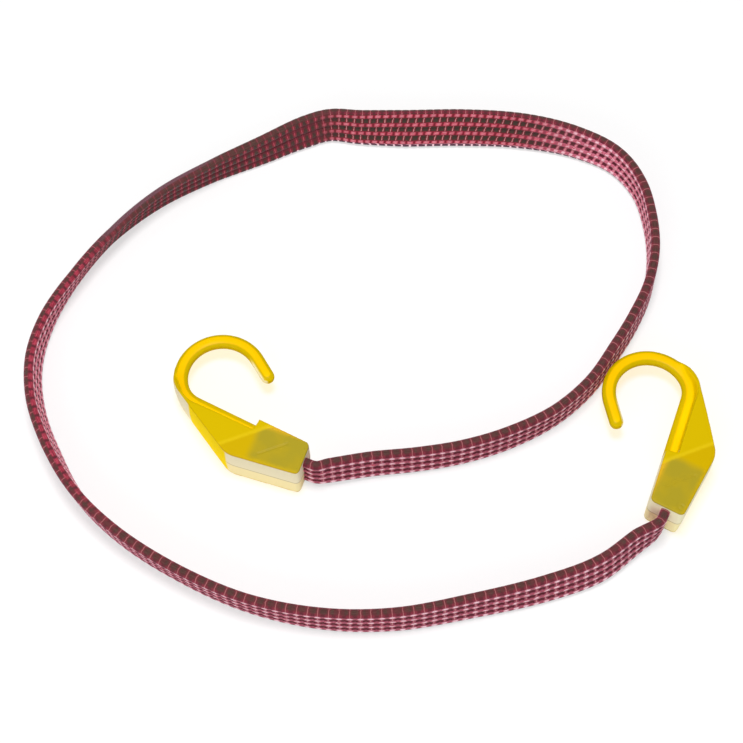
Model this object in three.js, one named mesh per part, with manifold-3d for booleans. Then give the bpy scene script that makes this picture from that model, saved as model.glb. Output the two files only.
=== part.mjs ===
// A flat bungee cord: an elastic strap with a moulded plastic hook at each end, lying in a loose loop.
// Millimetres, +Z up. The origin is on the table, under the middle of the box round the two hooks.
import * as THREE from "three";
import { mergeVertices } from "three/addons/utils/BufferGeometryUtils.js";
import Module from "manifold-3d";

const wasm = await Module();
wasm.setup();

// Fits
const FIT_GAP = 0.3; // between two pieces that touch
const SWIVEL_GAP = 0.8; // lets an end clamp rock behind the mouth of its socket
const WELD_DISTANCE = 1e-4; // corners nearer than this are one corner
const STRAIGHT_AREA = 1e-3; // a point and its neighbours that span less than this lie on one line

// Strap: round rubber cores side by side in a woven sheath
const CORE_COUNT = 4;
const CORE_DIAMETER = 3;
const CORE_SIDES = 6;
const SHEATH_FACE_WALL = 0.4;
const SHEATH_EDGE_WALL = 0.6;
const SHEATH_WEB = 0.8; // between two cores
const SHEATH_CHAMFER = 1.1;
const STRAP_STEPS = 78;
const LENGTH_SAMPLES = 4000; // for measuring along the strap's route
const STRAP_RISE_RUN = 60; // length over which the strap rises from the table to a hook's mid height

// End clamp: a sheet steel U that is crimped on the strap's cut end
const CLAMP_SHEET = 0.8;
const CLAMP_GRIP = 13;

// Hook socket, x from the mouth into the hook, y towards the curl
const MOUTH_WALL = 3;
const SIDE_WALL = 2.3;
const FACE_WALL = 1.35;
const BACK_WALL = 2.1;
const CAVITY_BACK_ROOM = 5.5; // behind the clamp
const SWING_ROOM = 2.26; // beside the clamp
const MOUTH_FLARE = 0.8;
const INNER_EDGE_ANGLE = 8.3;
const OUTER_EDGE_ANGLE = 2;
const OUTER_CORNER_RUN = 7.7; // from the step at the back of the socket to the outer corner
const OUTER_CORNER_RADIUS = 9;
const OUTER_CORNER_STEPS = 5;
const WALL_DRAFT = 0.35; // each side wall leans in by this much from the parting line to the face
const PARTING_BAND = 0.3;
const CREASE_RUN = 5.5; // from the step to where the crease crosses the socket's middle
const CREASE_ANGLE = 40;
const GROOVE_FROM_MOUTH = 14.4; // where the groove, side by side with the crease, crosses the middle
const GROOVE_LENGTH = 15;
const GROOVE_WIDTH = 0.6;
const GROOVE_DEPTH = 0.3;

// Hook bar: a rib along the shank, then the curl and its tip
const SHANK_LENGTH = 30.8; // from the step to the start of the bend
const BEND_RADIUS = 10;
const BEND_SWEEP = 45;
const CURL_RADIUS = 15.2; // inside the curl
const CURL_END_ANGLE = 119;
const TIP_LENGTH = 10;
const RIB_WIDTH = 5.4; // that shows beside the web
const CURL_BAR_WIDTH = 6.7;
const TIP_WIDTH = 4.8;
const BAR_THICKNESS = 6;
const BAR_CHAMFER = 1.1;
const BAR_STEPS = 44;
const TIP_STEPS = 6;

// Web: thins a little from the crease to its shoulder, then runs out steeply on the curl
const SHOULDER_THICKNESS = 19.6;
const RUN_OUT_LENGTH = 9; // from the shoulder to the end of the web
const RUN_OUT_ANGLE = 52; // where the web ends, about the curl's centre

// Where the hooks lie: the middle of each mouth, and the turn of the hook's x about +Z
const LEFT_HOOK = { x: -57.9, y: -19.7, turn: 160.7, flipped: true };
const RIGHT_HOOK = { x: 94, y: -42.2, turn: 61.3, flipped: false };

// The strap's way round the table from the left mouth to the right one: x, y and lean in degrees.
// A positive lean tips the upper edge to the left of the way.
const STRAP_ROUTE = [
  [-47.5, -20.4, 4],
  [-29.5, -17.1, 5],
  [-9.5, -14.6, 4],
  [10.5, -10.9, 3],
  [30.5, -4.3, 2],
  [50.5, 6.2, 0],
  [66.5, 20.3, 1],
  [78.5, 36.9, 4],
  [89, 53.9, 5],
  [96.5, 70, 3],
  [100.5, 87.5, 1],
  [100.5, 106.5, 1],
  [96.5, 125.5, 0],
  [86.5, 140.5, -6],
  [68.5, 150.9, -16],
  [44.5, 157.7, -30],
  [16.5, 160.3, -40],
  [-13.5, 159.9, -40],
  [-34.5, 159.9, -26],
  [-49.5, 160.9, -18],
  [-61.5, 156.9, -18],
  [-81.5, 146.4, -7],
  [-105.5, 134.1, 6],
  [-129.5, 118.9, 13],
  [-150.5, 98.5, 20],
  [-166.5, 74.5, 15],
  [-176.5, 52.5, 4],
  [-180.1, 32.5, -3],
  [-177.3, 11.5, -8],
  [-168.5, -9.9, -10],
  [-156, -30.5, -6],
  [-137.5, -48.7, -5],
  [-111.5, -65.7, -5],
  [-81.5, -79.3, -3],
  [-49.5, -86.2, 2],
  [-19.5, -86.4, 5],
  [12.5, -80.6, 8],
  [42.5, -73.3, 12],
  [66.5, -64.4, 14],
  [82, -53.1, 11],
];
const SOCKET_RUN_OUT = 5; // straight run of the strap outside each mouth

// Sizes that follow from the ones above
const lumen = CORE_DIAMETER + 2 * FIT_GAP;
const corePitch = lumen + SHEATH_WEB;
const strapThickness = lumen + 2 * SHEATH_FACE_WALL;
const strapWidth = CORE_COUNT * lumen + (CORE_COUNT - 1) * SHEATH_WEB + 2 * SHEATH_EDGE_WALL;
const slotWidth = strapThickness + 2 * FIT_GAP;
const cavityHeight = strapWidth + 2 * FIT_GAP;
const hookHeight = cavityHeight + 2 * FACE_WALL;
const clampThickness = slotWidth + 2 * CLAMP_SHEET;
const clampFront = MOUTH_WALL + SWIVEL_GAP;
const clampBack = clampFront + CLAMP_GRIP + CLAMP_SHEET;
const strapEnd = clampFront + CLAMP_GRIP - FIT_GAP;
const cavityBack = clampBack + CAVITY_BACK_ROOM;
const socketLength = cavityBack + BACK_WALL;
const mouthHalf = clampThickness / 2 + SWING_ROOM + SIDE_WALL;
const innerSlope = Math.tan(THREE.MathUtils.degToRad(INNER_EDGE_ANGLE));
const outerSlope = Math.tan(THREE.MathUtils.degToRad(OUTER_EDGE_ANGLE));

const vec = (x, y) => new THREE.Vector2(x, y);

// Solids for joining and cutting

function solid(geometry) {
  const bare = geometry.index ? geometry.toNonIndexed() : geometry.clone();
  bare.deleteAttribute("normal");
  bare.deleteAttribute("uv");
  const merged = mergeVertices(bare, WELD_DISTANCE);
  const mesh = new wasm.Mesh({
    numProp: 3,
    vertProperties: new Float32Array(merged.attributes.position.array),
    triVerts: new Uint32Array(merged.index.array),
  });
  return new wasm.Manifold(mesh);
}

function geometryOf(manifold) {
  const mesh = manifold.getMesh();
  const geometry = new THREE.BufferGeometry();
  geometry.setAttribute("position", new THREE.BufferAttribute(mesh.vertProperties, 3));
  geometry.setIndex(new THREE.BufferAttribute(mesh.triVerts, 1));
  geometry.computeVertexNormals();
  return geometry;
}

// A plan outline made into a slab of the given height, centred on the mid plane.
function slab(points, height) {
  const geometry = new THREE.ExtrudeGeometry(new THREE.Shape(points), { depth: height, bevelEnabled: false });
  return geometry.translate(0, 0, -height / 2);
}

// A slab whose side walls lean in from a middle band by `inset` over `slope` at each face.
function bevelledSlab(points, height, slope, inset) {
  const geometry = new THREE.ExtrudeGeometry(new THREE.Shape(points), {
    depth: height - 2 * slope,
    bevelEnabled: true,
    bevelThickness: slope,
    bevelSize: inset,
    bevelOffset: -inset,
    bevelSegments: 1,
  });
  return geometry.translate(0, 0, slope - height / 2);
}

// The points that round off the corner between two straight sides.
function roundedCorner(before, corner, after, radius, steps) {
  const back = before.clone().sub(corner).normalize();
  const ahead = after.clone().sub(corner).normalize();
  const half = Math.acos(back.dot(ahead)) / 2;
  const bisector = back.clone().add(ahead).normalize();
  const centre = corner.clone().addScaledVector(bisector, radius / Math.sin(half));
  const first = corner.clone().addScaledVector(back, radius / Math.tan(half)).sub(centre);
  const last = corner.clone().addScaledVector(ahead, radius / Math.tan(half)).sub(centre);
  const sweep = Math.atan2(first.cross(last), first.dot(last));
  const points = [];
  for (let i = 0; i <= steps; i++) {
    points.push(first.clone().rotateAround(vec(0, 0), (sweep * i) / steps).add(centre));
  }
  return points;
}

// The points of an outline without those that lie straight between their neighbours.
function cornersOnly(points) {
  return points.filter((point, i) => {
    const back = point.clone().sub(points.at(i - 1));
    const ahead = points[(i + 1) % points.length].clone().sub(point);
    return Math.abs(back.cross(ahead)) > STRAIGHT_AREA;
  });
}

// Hook

// Takes a point from the inner edge's own frame, x along it from the mouth and y towards the curl.
function fromInnerEdge(point) {
  return point
    .clone()
    .rotateAround(vec(0, 0), THREE.MathUtils.degToRad(INNER_EDGE_ANGLE))
    .add(vec(0, mouthHalf));
}

// A point at a radius about a centre, turned on from the shank's direction.
function turned(centre, radius, degrees) {
  const angle = THREE.MathUtils.degToRad(degrees);
  return vec(centre.x + radius * Math.sin(angle), centre.y - radius * Math.cos(angle));
}

const stepAlong = socketLength / Math.cos(THREE.MathUtils.degToRad(INNER_EDGE_ANGLE));
const bendAlong = stepAlong + SHANK_LENGTH;
const bendSweep = THREE.MathUtils.degToRad(BEND_SWEEP);
const bendCentre = vec(bendAlong, BEND_RADIUS);
const curlCentre = turned(bendCentre, BEND_RADIUS - CURL_RADIUS, BEND_SWEEP);

const crease = vec(socketLength + CREASE_RUN, 0);
const creaseNormal = THREE.MathUtils.degToRad(90 - CREASE_ANGLE);
const outerCorner = vec(socketLength + OUTER_CORNER_RUN, 0);
outerCorner.y = -mouthHalf - outerSlope * outerCorner.x;
const runOut = fromInnerEdge(turned(curlCentre, CURL_RADIUS + CURL_BAR_WIDTH, RUN_OUT_ANGLE));
const outerEdge = runOut.clone().sub(outerCorner).normalize();
const shoulder = runOut.clone().addScaledVector(outerEdge, -RUN_OUT_LENGTH);

// The contour that a rail bears on, from the step to the tip, in the inner edge's own frame.
function innerContour() {
  const curlStart = bendSweep - Math.PI / 2;
  const curlEnd = THREE.MathUtils.degToRad(CURL_END_ANGLE);
  const path = new THREE.Path();
  path.moveTo(stepAlong - BACK_WALL, 0);
  path.lineTo(bendAlong, 0);
  path.absarc(bendCentre.x, bendCentre.y, BEND_RADIUS, -Math.PI / 2, curlStart, false);
  path.absarc(curlCentre.x, curlCentre.y, CURL_RADIUS, curlStart, curlEnd, false);
  const end = path.currentPoint.clone();
  path.lineTo(end.x - TIP_LENGTH * Math.sin(curlEnd), end.y + TIP_LENGTH * Math.cos(curlEnd));
  return path;
}

// The bar's width at a length along its inner contour: a rib with its outer side in the web, then full in the
// curl and thinner to the tip.
function barWidth(length, total) {
  const bend = SHANK_LENGTH + BACK_WALL;
  const full = bend + BEND_RADIUS * bendSweep;
  const swell = THREE.MathUtils.smoothstep(length, bend - BEND_RADIUS, full);
  const taper = THREE.MathUtils.clamp((length - full) / (total - full), 0, 1);
  const widest = THREE.MathUtils.lerp(CURL_BAR_WIDTH, TIP_WIDTH, taper);
  return THREE.MathUtils.lerp(RIB_WIDTH + 2 * BAR_CHAMFER, widest, swell);
}

function bar() {
  const path = innerContour();
  const total = path.getLength();
  const inner = [];
  const outer = [];
  for (let i = 0; i <= BAR_STEPS; i++) {
    const point = path.getPointAt(i / BAR_STEPS);
    const ahead = path.getTangentAt(i / BAR_STEPS);
    const across = vec(ahead.y, -ahead.x);
    inner.push(point);
    outer.push(point.clone().addScaledVector(across, barWidth((total * i) / BAR_STEPS, total)));
  }
  const tipMiddle = inner.at(-1).clone().add(outer.at(-1)).divideScalar(2);
  const tip = [];
  for (let i = 1; i < TIP_STEPS; i++) {
    tip.push(outer.at(-1).clone().rotateAround(tipMiddle, (Math.PI * i) / TIP_STEPS));
  }
  const outline = cornersOnly([...outer, ...tip, ...inner.reverse()]);
  return bevelledSlab(outline, BAR_THICKNESS, BAR_CHAMFER, BAR_CHAMFER)
    .rotateZ(THREE.MathUtils.degToRad(INNER_EDGE_ANGLE))
    .translate(0, mouthHalf, 0);
}

// The socket and the web behind it, at the socket's full height.
function socketBlock() {
  const mouthOuter = vec(0, -mouthHalf);
  const outline = [
    mouthOuter,
    ...roundedCorner(mouthOuter, outerCorner, runOut, OUTER_CORNER_RADIUS, OUTER_CORNER_STEPS),
    runOut,
    fromInnerEdge(turned(curlCentre, CURL_RADIUS + CURL_BAR_WIDTH / 2, RUN_OUT_ANGLE)),
    fromInnerEdge(vec(bendAlong, -RIB_WIDTH)),
    fromInnerEdge(vec(stepAlong, -RIB_WIDTH)),
    fromInnerEdge(vec(stepAlong, 0)),
    vec(0, mouthHalf),
  ];
  const slope = (hookHeight - PARTING_BAND) / 2;
  return solid(bevelledSlab(outline, hookHeight, slope, WALL_DRAFT));
}

// A half-space cutter that slopes the web's upper or lower face between two lines parallel to the crease.
function webSlope(start, startThickness, end, endThickness, side) {
  const run = end.clone().sub(start).rotateAround(vec(0, 0), -creaseNormal).x;
  const slope = Math.atan2((startThickness - endThickness) / 2, run);
  const reach = 2 * (socketLength + SHANK_LENGTH + CURL_RADIUS);
  const box = new THREE.BoxGeometry(2 * reach, 2 * reach, reach)
    .translate(0, 0, (side * reach) / 2)
    .rotateY(side * slope)
    .translate(0, 0, (side * startThickness) / 2)
    .rotateZ(creaseNormal)
    .translate(start.x, start.y, 0);
  return solid(box);
}

// The shallow groove across a socket face.
function faceGroove(side) {
  const box = new THREE.BoxGeometry(GROOVE_WIDTH, GROOVE_LENGTH, 2 * GROOVE_DEPTH)
    .rotateZ(creaseNormal)
    .translate(GROOVE_FROM_MOUTH, 0, (side * hookHeight) / 2);
  return solid(box);
}

function cavity() {
  const innerAt = (x) => mouthHalf + innerSlope * x - SIDE_WALL;
  const outerAt = (x) => -mouthHalf - outerSlope * x + SIDE_WALL;
  const outline = [
    vec(MOUTH_WALL, outerAt(MOUTH_WALL)),
    vec(cavityBack, outerAt(cavityBack)),
    vec(cavityBack, innerAt(cavityBack)),
    vec(MOUTH_WALL, innerAt(MOUTH_WALL)),
  ];
  return solid(slab(outline, cavityHeight));
}

function mouthSlot() {
  const half = slotWidth / 2;
  const wide = half + MOUTH_FLARE;
  const outline = [
    vec(-MOUTH_FLARE, -wide - MOUTH_FLARE),
    vec(MOUTH_FLARE, -half),
    vec(MOUTH_WALL + FIT_GAP, -half),
    vec(MOUTH_WALL + FIT_GAP, half),
    vec(MOUTH_FLARE, half),
    vec(-MOUTH_FLARE, wide + MOUTH_FLARE),
  ];
  return solid(slab(outline, cavityHeight));
}

function hookGeometry() {
  const sides = [1, -1];
  let body = socketBlock();
  for (const side of sides) {
    body = body.subtract(webSlope(crease, hookHeight, shoulder, SHOULDER_THICKNESS, side));
    body = body.subtract(webSlope(shoulder, SHOULDER_THICKNESS, runOut, BAR_THICKNESS, side));
  }
  body = body.add(solid(bar())).subtract(cavity()).subtract(mouthSlot());
  for (const side of sides) body = body.subtract(faceGroove(side));
  return geometryOf(body);
}

function clampGeometry() {
  const outside = clampThickness / 2;
  const inside = slotWidth / 2;
  const web = clampBack - CLAMP_SHEET;
  const outline = [
    vec(clampFront, -outside),
    vec(clampBack, -outside),
    vec(clampBack, outside),
    vec(clampFront, outside),
    vec(clampFront, inside),
    vec(web, inside),
    vec(web, -inside),
    vec(clampFront, -inside),
  ];
  return slab(outline, strapWidth);
}

// Strap

function sheathSection() {
  const halfWidth = strapWidth / 2;
  const halfThickness = strapThickness / 2;
  const flat = halfThickness - SHEATH_CHAMFER;
  const tall = halfWidth - SHEATH_CHAMFER;
  return [
    vec(flat, -halfWidth),
    vec(halfThickness, -tall),
    vec(halfThickness, tall),
    vec(flat, halfWidth),
    vec(-flat, halfWidth),
    vec(-halfThickness, tall),
    vec(-halfThickness, -tall),
    vec(-flat, -halfWidth),
  ];
}

// A many-sided round, with its flats towards the strap's faces.
function coreSection(diameter, index) {
  const middle = (index - (CORE_COUNT - 1) / 2) * corePitch;
  const radius = diameter / 2 / Math.cos(Math.PI / CORE_SIDES);
  const points = [];
  for (let i = 0; i < CORE_SIDES; i++) {
    const angle = (2 * Math.PI * (i + 0.5)) / CORE_SIDES;
    points.push(vec(radius * Math.cos(angle), middle + radius * Math.sin(angle)));
  }
  return points;
}

// A place on a hook's middle line, `x` from its mouth, as a route point.
function onHook(hook, x) {
  const turn = THREE.MathUtils.degToRad(hook.turn);
  return [hook.x + x * Math.cos(turn), hook.y + x * Math.sin(turn), 0];
}

const fullRoute = [
  ...[strapEnd, strapEnd / 2, 0, -SOCKET_RUN_OUT].map((x) => onHook(LEFT_HOOK, x)),
  ...STRAP_ROUTE,
  ...[-SOCKET_RUN_OUT, 0, strapEnd / 2, strapEnd].map((x) => onHook(RIGHT_HOOK, x)),
];

// How high the strap's middle is when it stands on its edge with the given lean.
function standingHeight(lean) {
  const drops = sheathSection().map((p) => p.x * Math.sin(lean) - p.y * Math.cos(lean));
  return Math.max(...drops);
}

// Lengths along the strap at which its section is set: a straight tail in each socket, even steps between.
function strapStations(length) {
  const tail = strapEnd + MOUTH_FLARE;
  const step = (length - 2 * tail) / (STRAP_STEPS - 2);
  const between = Array.from({ length: STRAP_STEPS - 1 }, (_, i) => tail + step * i);
  return [0, ...between, length];
}

// The strap's place and directions at each step: its middle, across its thickness and across its width.
function strapFrames() {
  const plan = new THREE.CatmullRomCurve3(fullRoute.map(([x, y]) => new THREE.Vector3(x, y, 0)));
  plan.arcLengthDivisions = LENGTH_SAMPLES;
  const length = plan.getLength();
  const up = new THREE.Vector3(0, 0, 1);
  return strapStations(length).map((along) => {
    const t = plan.getUtoTmapping(along / length);
    const knot = t * (fullRoute.length - 1);
    const before = Math.min(Math.floor(knot), fullRoute.length - 2);
    const leanDegrees = THREE.MathUtils.lerp(fullRoute[before][2], fullRoute[before + 1][2], knot - before);
    const lean = THREE.MathUtils.degToRad(leanDegrees);
    const outside = Math.min(along, length - along) - strapEnd;
    const onTable = THREE.MathUtils.smoothstep(outside, MOUTH_FLARE, STRAP_RISE_RUN);
    const middle = plan.getPoint(t);
    middle.z = THREE.MathUtils.lerp(hookHeight / 2, standingHeight(lean), onTable);
    const left = up.clone().cross(plan.getTangent(t)).normalize();
    const across = left.clone().multiplyScalar(Math.cos(lean)).addScaledVector(up, -Math.sin(lean));
    const width = up.clone().multiplyScalar(Math.cos(lean)).addScaledVector(left, Math.sin(lean));
    return { middle, across, width };
  });
}

const frames = strapFrames();

// Sweeps a section along the strap: a straight extrusion whose steps are set on the strap's frames.
function alongStrap(section, holes = []) {
  const shape = new THREE.Shape(section);
  for (const hole of holes) shape.holes.push(new THREE.Path(hole));
  const geometry = new THREE.ExtrudeGeometry(shape, {
    depth: STRAP_STEPS,
    steps: STRAP_STEPS,
    bevelEnabled: false,
  });
  const position = geometry.attributes.position;
  const point = new THREE.Vector3();
  for (let i = 0; i < position.count; i++) {
    const frame = frames[Math.round(position.getZ(i))];
    point.copy(frame.middle);
    point.addScaledVector(frame.across, position.getX(i));
    point.addScaledVector(frame.width, position.getY(i));
    position.setXYZ(i, point.x, point.y, point.z);
  }
  geometry.computeVertexNormals();
  return geometry;
}

// Assembly

function material(color, roughness, metalness = 0) {
  return new THREE.MeshStandardMaterial({ color, roughness, metalness });
}

function piece(name, geometry, look) {
  const mesh = new THREE.Mesh(geometry, look);
  mesh.name = name;
  return mesh;
}

function hookEnd(name, hook) {
  const end = new THREE.Group();
  end.position.set(hook.x, hook.y, hookHeight / 2);
  end.rotation.z = THREE.MathUtils.degToRad(hook.turn);
  const laid = new THREE.Group();
  laid.rotation.x = hook.flipped ? Math.PI : 0;
  laid.add(piece(`${name}_hook`, hookGeometry(), material(0xf2c200, 0.35)));
  laid.add(piece(`${name}_end_clamp`, clampGeometry(), material(0x8d9096, 0.4, 0.9)));
  end.add(laid);
  return end;
}

const bungeeCord = new THREE.Group();
const lumens = Array.from({ length: CORE_COUNT }, (_, i) => coreSection(lumen, i));
bungeeCord.add(piece("strap_sheath", alongStrap(sheathSection(), lumens), material(0x8c3e4c, 0.9)));
for (let i = 0; i < CORE_COUNT; i++) {
  const core = alongStrap(coreSection(CORE_DIAMETER, i));
  bungeeCord.add(piece(`rubber_core_${i + 1}`, core, material(0xd9c7a0, 0.8)));
}
bungeeCord.add(hookEnd("left", LEFT_HOOK), hookEnd("right", RIGHT_HOOK));

export default bungeeCord;
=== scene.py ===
# %% [markdown]
# # A flat bungee cord, laid in a loose loop
# The real object is a stretchy strap, 18 mm wide and about 1 m long, with a yellow plastic hook on
# each end. Four round rubber cores lie side by side in a woven sheath, and a hidden steel clamp
# holds each cut end inside its hook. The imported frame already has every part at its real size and
# knows how the parts move. This lesson dresses that frame: it models the strap's ribs and the
# smooth hooks, and gives each surface its finish.

# %% Load the frame
import math
from types import SimpleNamespace

import bmesh
import bpy
import numpy as np
from mathutils import Matrix, Vector, geometry, kdtree
from mathutils.bvhtree import BVHTree


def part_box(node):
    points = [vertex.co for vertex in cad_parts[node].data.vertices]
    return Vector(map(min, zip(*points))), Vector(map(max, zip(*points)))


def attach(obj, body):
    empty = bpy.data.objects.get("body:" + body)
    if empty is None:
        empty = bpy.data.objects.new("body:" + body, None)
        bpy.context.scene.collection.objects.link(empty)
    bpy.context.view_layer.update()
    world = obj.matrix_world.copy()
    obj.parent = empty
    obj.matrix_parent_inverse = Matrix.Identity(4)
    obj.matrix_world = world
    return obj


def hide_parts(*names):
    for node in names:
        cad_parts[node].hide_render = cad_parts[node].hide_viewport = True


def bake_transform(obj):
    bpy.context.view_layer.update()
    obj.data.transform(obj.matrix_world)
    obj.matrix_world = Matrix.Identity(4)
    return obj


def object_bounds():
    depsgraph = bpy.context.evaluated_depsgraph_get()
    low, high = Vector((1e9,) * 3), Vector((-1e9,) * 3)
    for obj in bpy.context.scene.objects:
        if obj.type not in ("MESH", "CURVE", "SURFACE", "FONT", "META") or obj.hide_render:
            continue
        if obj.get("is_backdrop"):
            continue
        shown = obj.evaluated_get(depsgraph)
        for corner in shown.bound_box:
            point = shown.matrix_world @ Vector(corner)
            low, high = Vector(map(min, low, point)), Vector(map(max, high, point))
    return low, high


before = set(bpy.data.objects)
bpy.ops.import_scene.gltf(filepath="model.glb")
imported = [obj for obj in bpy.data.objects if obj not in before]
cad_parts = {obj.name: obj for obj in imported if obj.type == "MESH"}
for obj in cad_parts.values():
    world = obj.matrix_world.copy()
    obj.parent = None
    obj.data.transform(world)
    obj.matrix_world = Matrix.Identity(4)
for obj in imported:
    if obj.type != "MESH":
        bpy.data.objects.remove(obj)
cad_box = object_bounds()
scene = bpy.context.scene
scene.view_settings.view_transform = "Standard"
print("solids:", ", ".join(sorted(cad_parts)))

# %% [markdown]
# ## The camera
# The photograph looks down on the table at a steep slant through a fairly long lens. A camera can
# be turned by hand until the picture fits, but here it is placed by numbers: the spot it looks at,
# its distance and its height angle. That way the same view comes back on every run.

# %% Place the camera
VIEW_TARGET = Vector((-0.0295, 0.0325, 0.0))
VIEW_DISTANCE = 0.7217
VIEW_ELEVATION = math.radians(63.4)
LENS_MM = 77.5
SENSOR_MM = 36.0
NEAREST_SEEN = 0.01

view_back = Vector((0.0, -math.cos(VIEW_ELEVATION), math.sin(VIEW_ELEVATION)))
camera = bpy.data.objects.new("camera", bpy.data.cameras.new("camera"))
camera.data.lens = LENS_MM
camera.data.sensor_width = SENSOR_MM
camera.data.clip_start = NEAREST_SEEN
camera.location = VIEW_TARGET + view_back * VIEW_DISTANCE
camera.rotation_euler = view_back.to_track_quat("Z", "Y").to_euler()
scene.collection.objects.link(camera)
scene.camera = camera
print("camera at", tuple(round(n, 4) for n in camera.location))

# %% [markdown]
# ## The strap's way round the table
# A strap that lies on its edge makes one smooth curve from hook to hook. It could be a curve object
# with a bevel, but a flat strap also leans and twists, and a bevelled curve gives little say in
# that. So the way is a list of places on the table, each with a lean, and a smooth curve through
# them is measured along its length.

# %% List the strap's way
HOOKS = {
    "left": {"mouth": (-0.0579, -0.0197), "turn": math.radians(160.7), "flipped": True},
    "right": {"mouth": (0.094, -0.0422), "turn": math.radians(61.3), "flipped": False},
}
STRAP_END = 0.0165  # how deep the strap's cut end sits in a hook's mouth
MOUTH_RUN = 0.005  # straight run of the strap outside each mouth

# Metres, with the lean in degrees. A positive lean tips the upper edge to the left of the way.
STRAP_ROUTE = [
    (-0.0475, -0.0204, 4), (-0.0295, -0.0171, 5), (-0.0095, -0.0146, 4), (0.0105, -0.0109, 3),
    (0.0305, -0.0043, 2), (0.0505, 0.0062, 0), (0.0665, 0.0203, 1), (0.0785, 0.0369, 4),
    (0.089, 0.0539, 5), (0.0965, 0.07, 3), (0.1005, 0.0875, 1), (0.1005, 0.1065, 1),
    (0.0965, 0.1255, 0), (0.0865, 0.1405, -6), (0.0685, 0.1509, -16), (0.0445, 0.1577, -30),
    (0.0165, 0.1603, -40), (-0.0135, 0.1599, -40), (-0.0345, 0.1599, -26), (-0.0495, 0.1609, -18),
    (-0.0615, 0.1569, -18), (-0.0815, 0.1464, -7), (-0.1055, 0.1341, 6), (-0.1295, 0.1189, 13),
    (-0.1505, 0.0985, 20), (-0.1665, 0.0745, 15), (-0.1765, 0.0525, 4), (-0.1801, 0.0325, -3),
    (-0.1773, 0.0115, -8), (-0.1685, -0.0099, -10), (-0.156, -0.0305, -6), (-0.1375, -0.0487, -5),
    (-0.1115, -0.0657, -5), (-0.0815, -0.0793, -3), (-0.0495, -0.0862, 2), (-0.0195, -0.0864, 5),
    (0.0125, -0.0806, 8), (0.0425, -0.0733, 12), (0.0665, -0.0644, 14), (0.082, -0.0531, 11),
]


def on_hook(hook, inside):
    """A route point on a hook's middle line, so far inside its mouth."""
    x, y = hook["mouth"]
    return (x + inside * math.cos(hook["turn"]), y + inside * math.sin(hook["turn"]), 0)


tail = (STRAP_END, STRAP_END / 2, 0.0, -MOUTH_RUN)
full_route = [on_hook(HOOKS["left"], inside) for inside in tail]
full_route += STRAP_ROUTE
full_route += [on_hook(HOOKS["right"], inside) for inside in reversed(tail)]
print("route:", len(full_route), "points")

# %% Draw a smooth curve through the route
SPAN_STEPS = 48  # samples between two route points


def span_handles(before, start, end, after):
    """Bezier handles that lead smoothly through route points that are unevenly spaced."""
    gaps = [math.sqrt((b - a).length) for a, b in ((before, start), (start, end), (end, after))]
    first, middle, last = gaps
    leaving = (start - before) / first - (end - before) / (first + middle) + (end - start) / middle
    arriving = (end - start) / middle - (after - start) / (middle + last) + (after - end) / last
    return start + leaving * middle / 3, end - arriving * middle / 3


knots = [Vector((x, y, 0.0)) for x, y, lean in full_route]
knots = [2 * knots[0] - knots[1]] + knots + [2 * knots[-1] - knots[-2]]
line = []
for span in range(len(full_route) - 1):
    before, start, end, after = knots[span:span + 4]
    leave, arrive = span_handles(before, start, end, after)
    line += geometry.interpolate_bezier(start, leave, arrive, end, SPAN_STEPS + 1)[:-1]
line.append(knots[-2])

line = np.array(line)
steps = np.linalg.norm(np.diff(line, axis=0), axis=1)
line_lengths = np.concatenate([[0.0], np.cumsum(steps)])
strap_length = float(line_lengths[-1])
route_leans = [math.radians(lean) for x, y, lean in full_route]
line_leans = np.interp(np.arange(len(line)) / SPAN_STEPS, np.arange(len(route_leans)), route_leans)
line_headings = np.unwrap(np.arctan2(np.gradient(line[:, 1]), np.gradient(line[:, 0])))
print(f"strap: {strap_length:.3f} m from cut end to cut end")

# %% [markdown]
# ## A place anywhere along the strap
# Every ring of the strap needs a middle, a direction across its thickness and one across its width.
# The middle stands as high as the strap's edge needs with that lean, and near a hook it rises to
# the mouth's mid height. A matrix holds all of this, so a point of the flat section is put in its
# place by one multiplication.

# %% Work out the strap's place at a length
STRAP_THICKNESS = 0.0044
STRAP_WIDTH = 0.018
EDGE_CHAMFER = 0.0011
MOUTH_FLARE = 0.0008
RISE_RUN = 0.06  # length over which the strap rises from the table to a hook's mid height
hook_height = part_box("left_hook")[1].z


def standing_height(lean):
    """Height of the strap's middle when it stands on its edge with a lean."""
    sine, cosine = abs(math.sin(lean)), math.cos(lean)
    half, tall = STRAP_THICKNESS / 2, STRAP_WIDTH / 2
    on_edge = (half - EDGE_CHAMFER) * sine + tall * cosine
    on_corner = half * sine + (tall - EDGE_CHAMFER) * cosine
    return max(on_edge, on_corner)


def smooth_step(value, low, high):
    t = min(max((value - low) / (high - low), 0.0), 1.0)
    return t * t * (3 - 2 * t)


def strap_place(along):
    """Matrix whose x goes through the strap's thickness, y across its width and z along it."""
    x, y = (float(np.interp(along, line_lengths, line[:, axis])) for axis in (0, 1))
    lean = float(np.interp(along, line_lengths, line_leans))
    heading = float(np.interp(along, line_lengths, line_headings))
    outside = min(along, strap_length - along) - STRAP_END
    risen = 1 - smooth_step(outside, MOUTH_FLARE, RISE_RUN)
    table = standing_height(lean)
    up = Vector((0.0, 0.0, 1.0))
    ahead = Vector((math.cos(heading), math.sin(heading), 0.0))
    left = up.cross(ahead)
    through = left * math.cos(lean) - up * math.sin(lean)
    width = up * math.cos(lean) + left * math.sin(lean)
    place = Matrix((through, width, ahead)).transposed().to_4x4()
    place.translation = (x, y, table + risen * (hook_height / 2 - table))
    return place


for along in (0.0, strap_length / 2, strap_length):
    spot = strap_place(along).translation
    print(f"strap at {along:.3f} m: {spot.x:.4f} {spot.y:.4f} {spot.z:.4f}")

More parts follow.
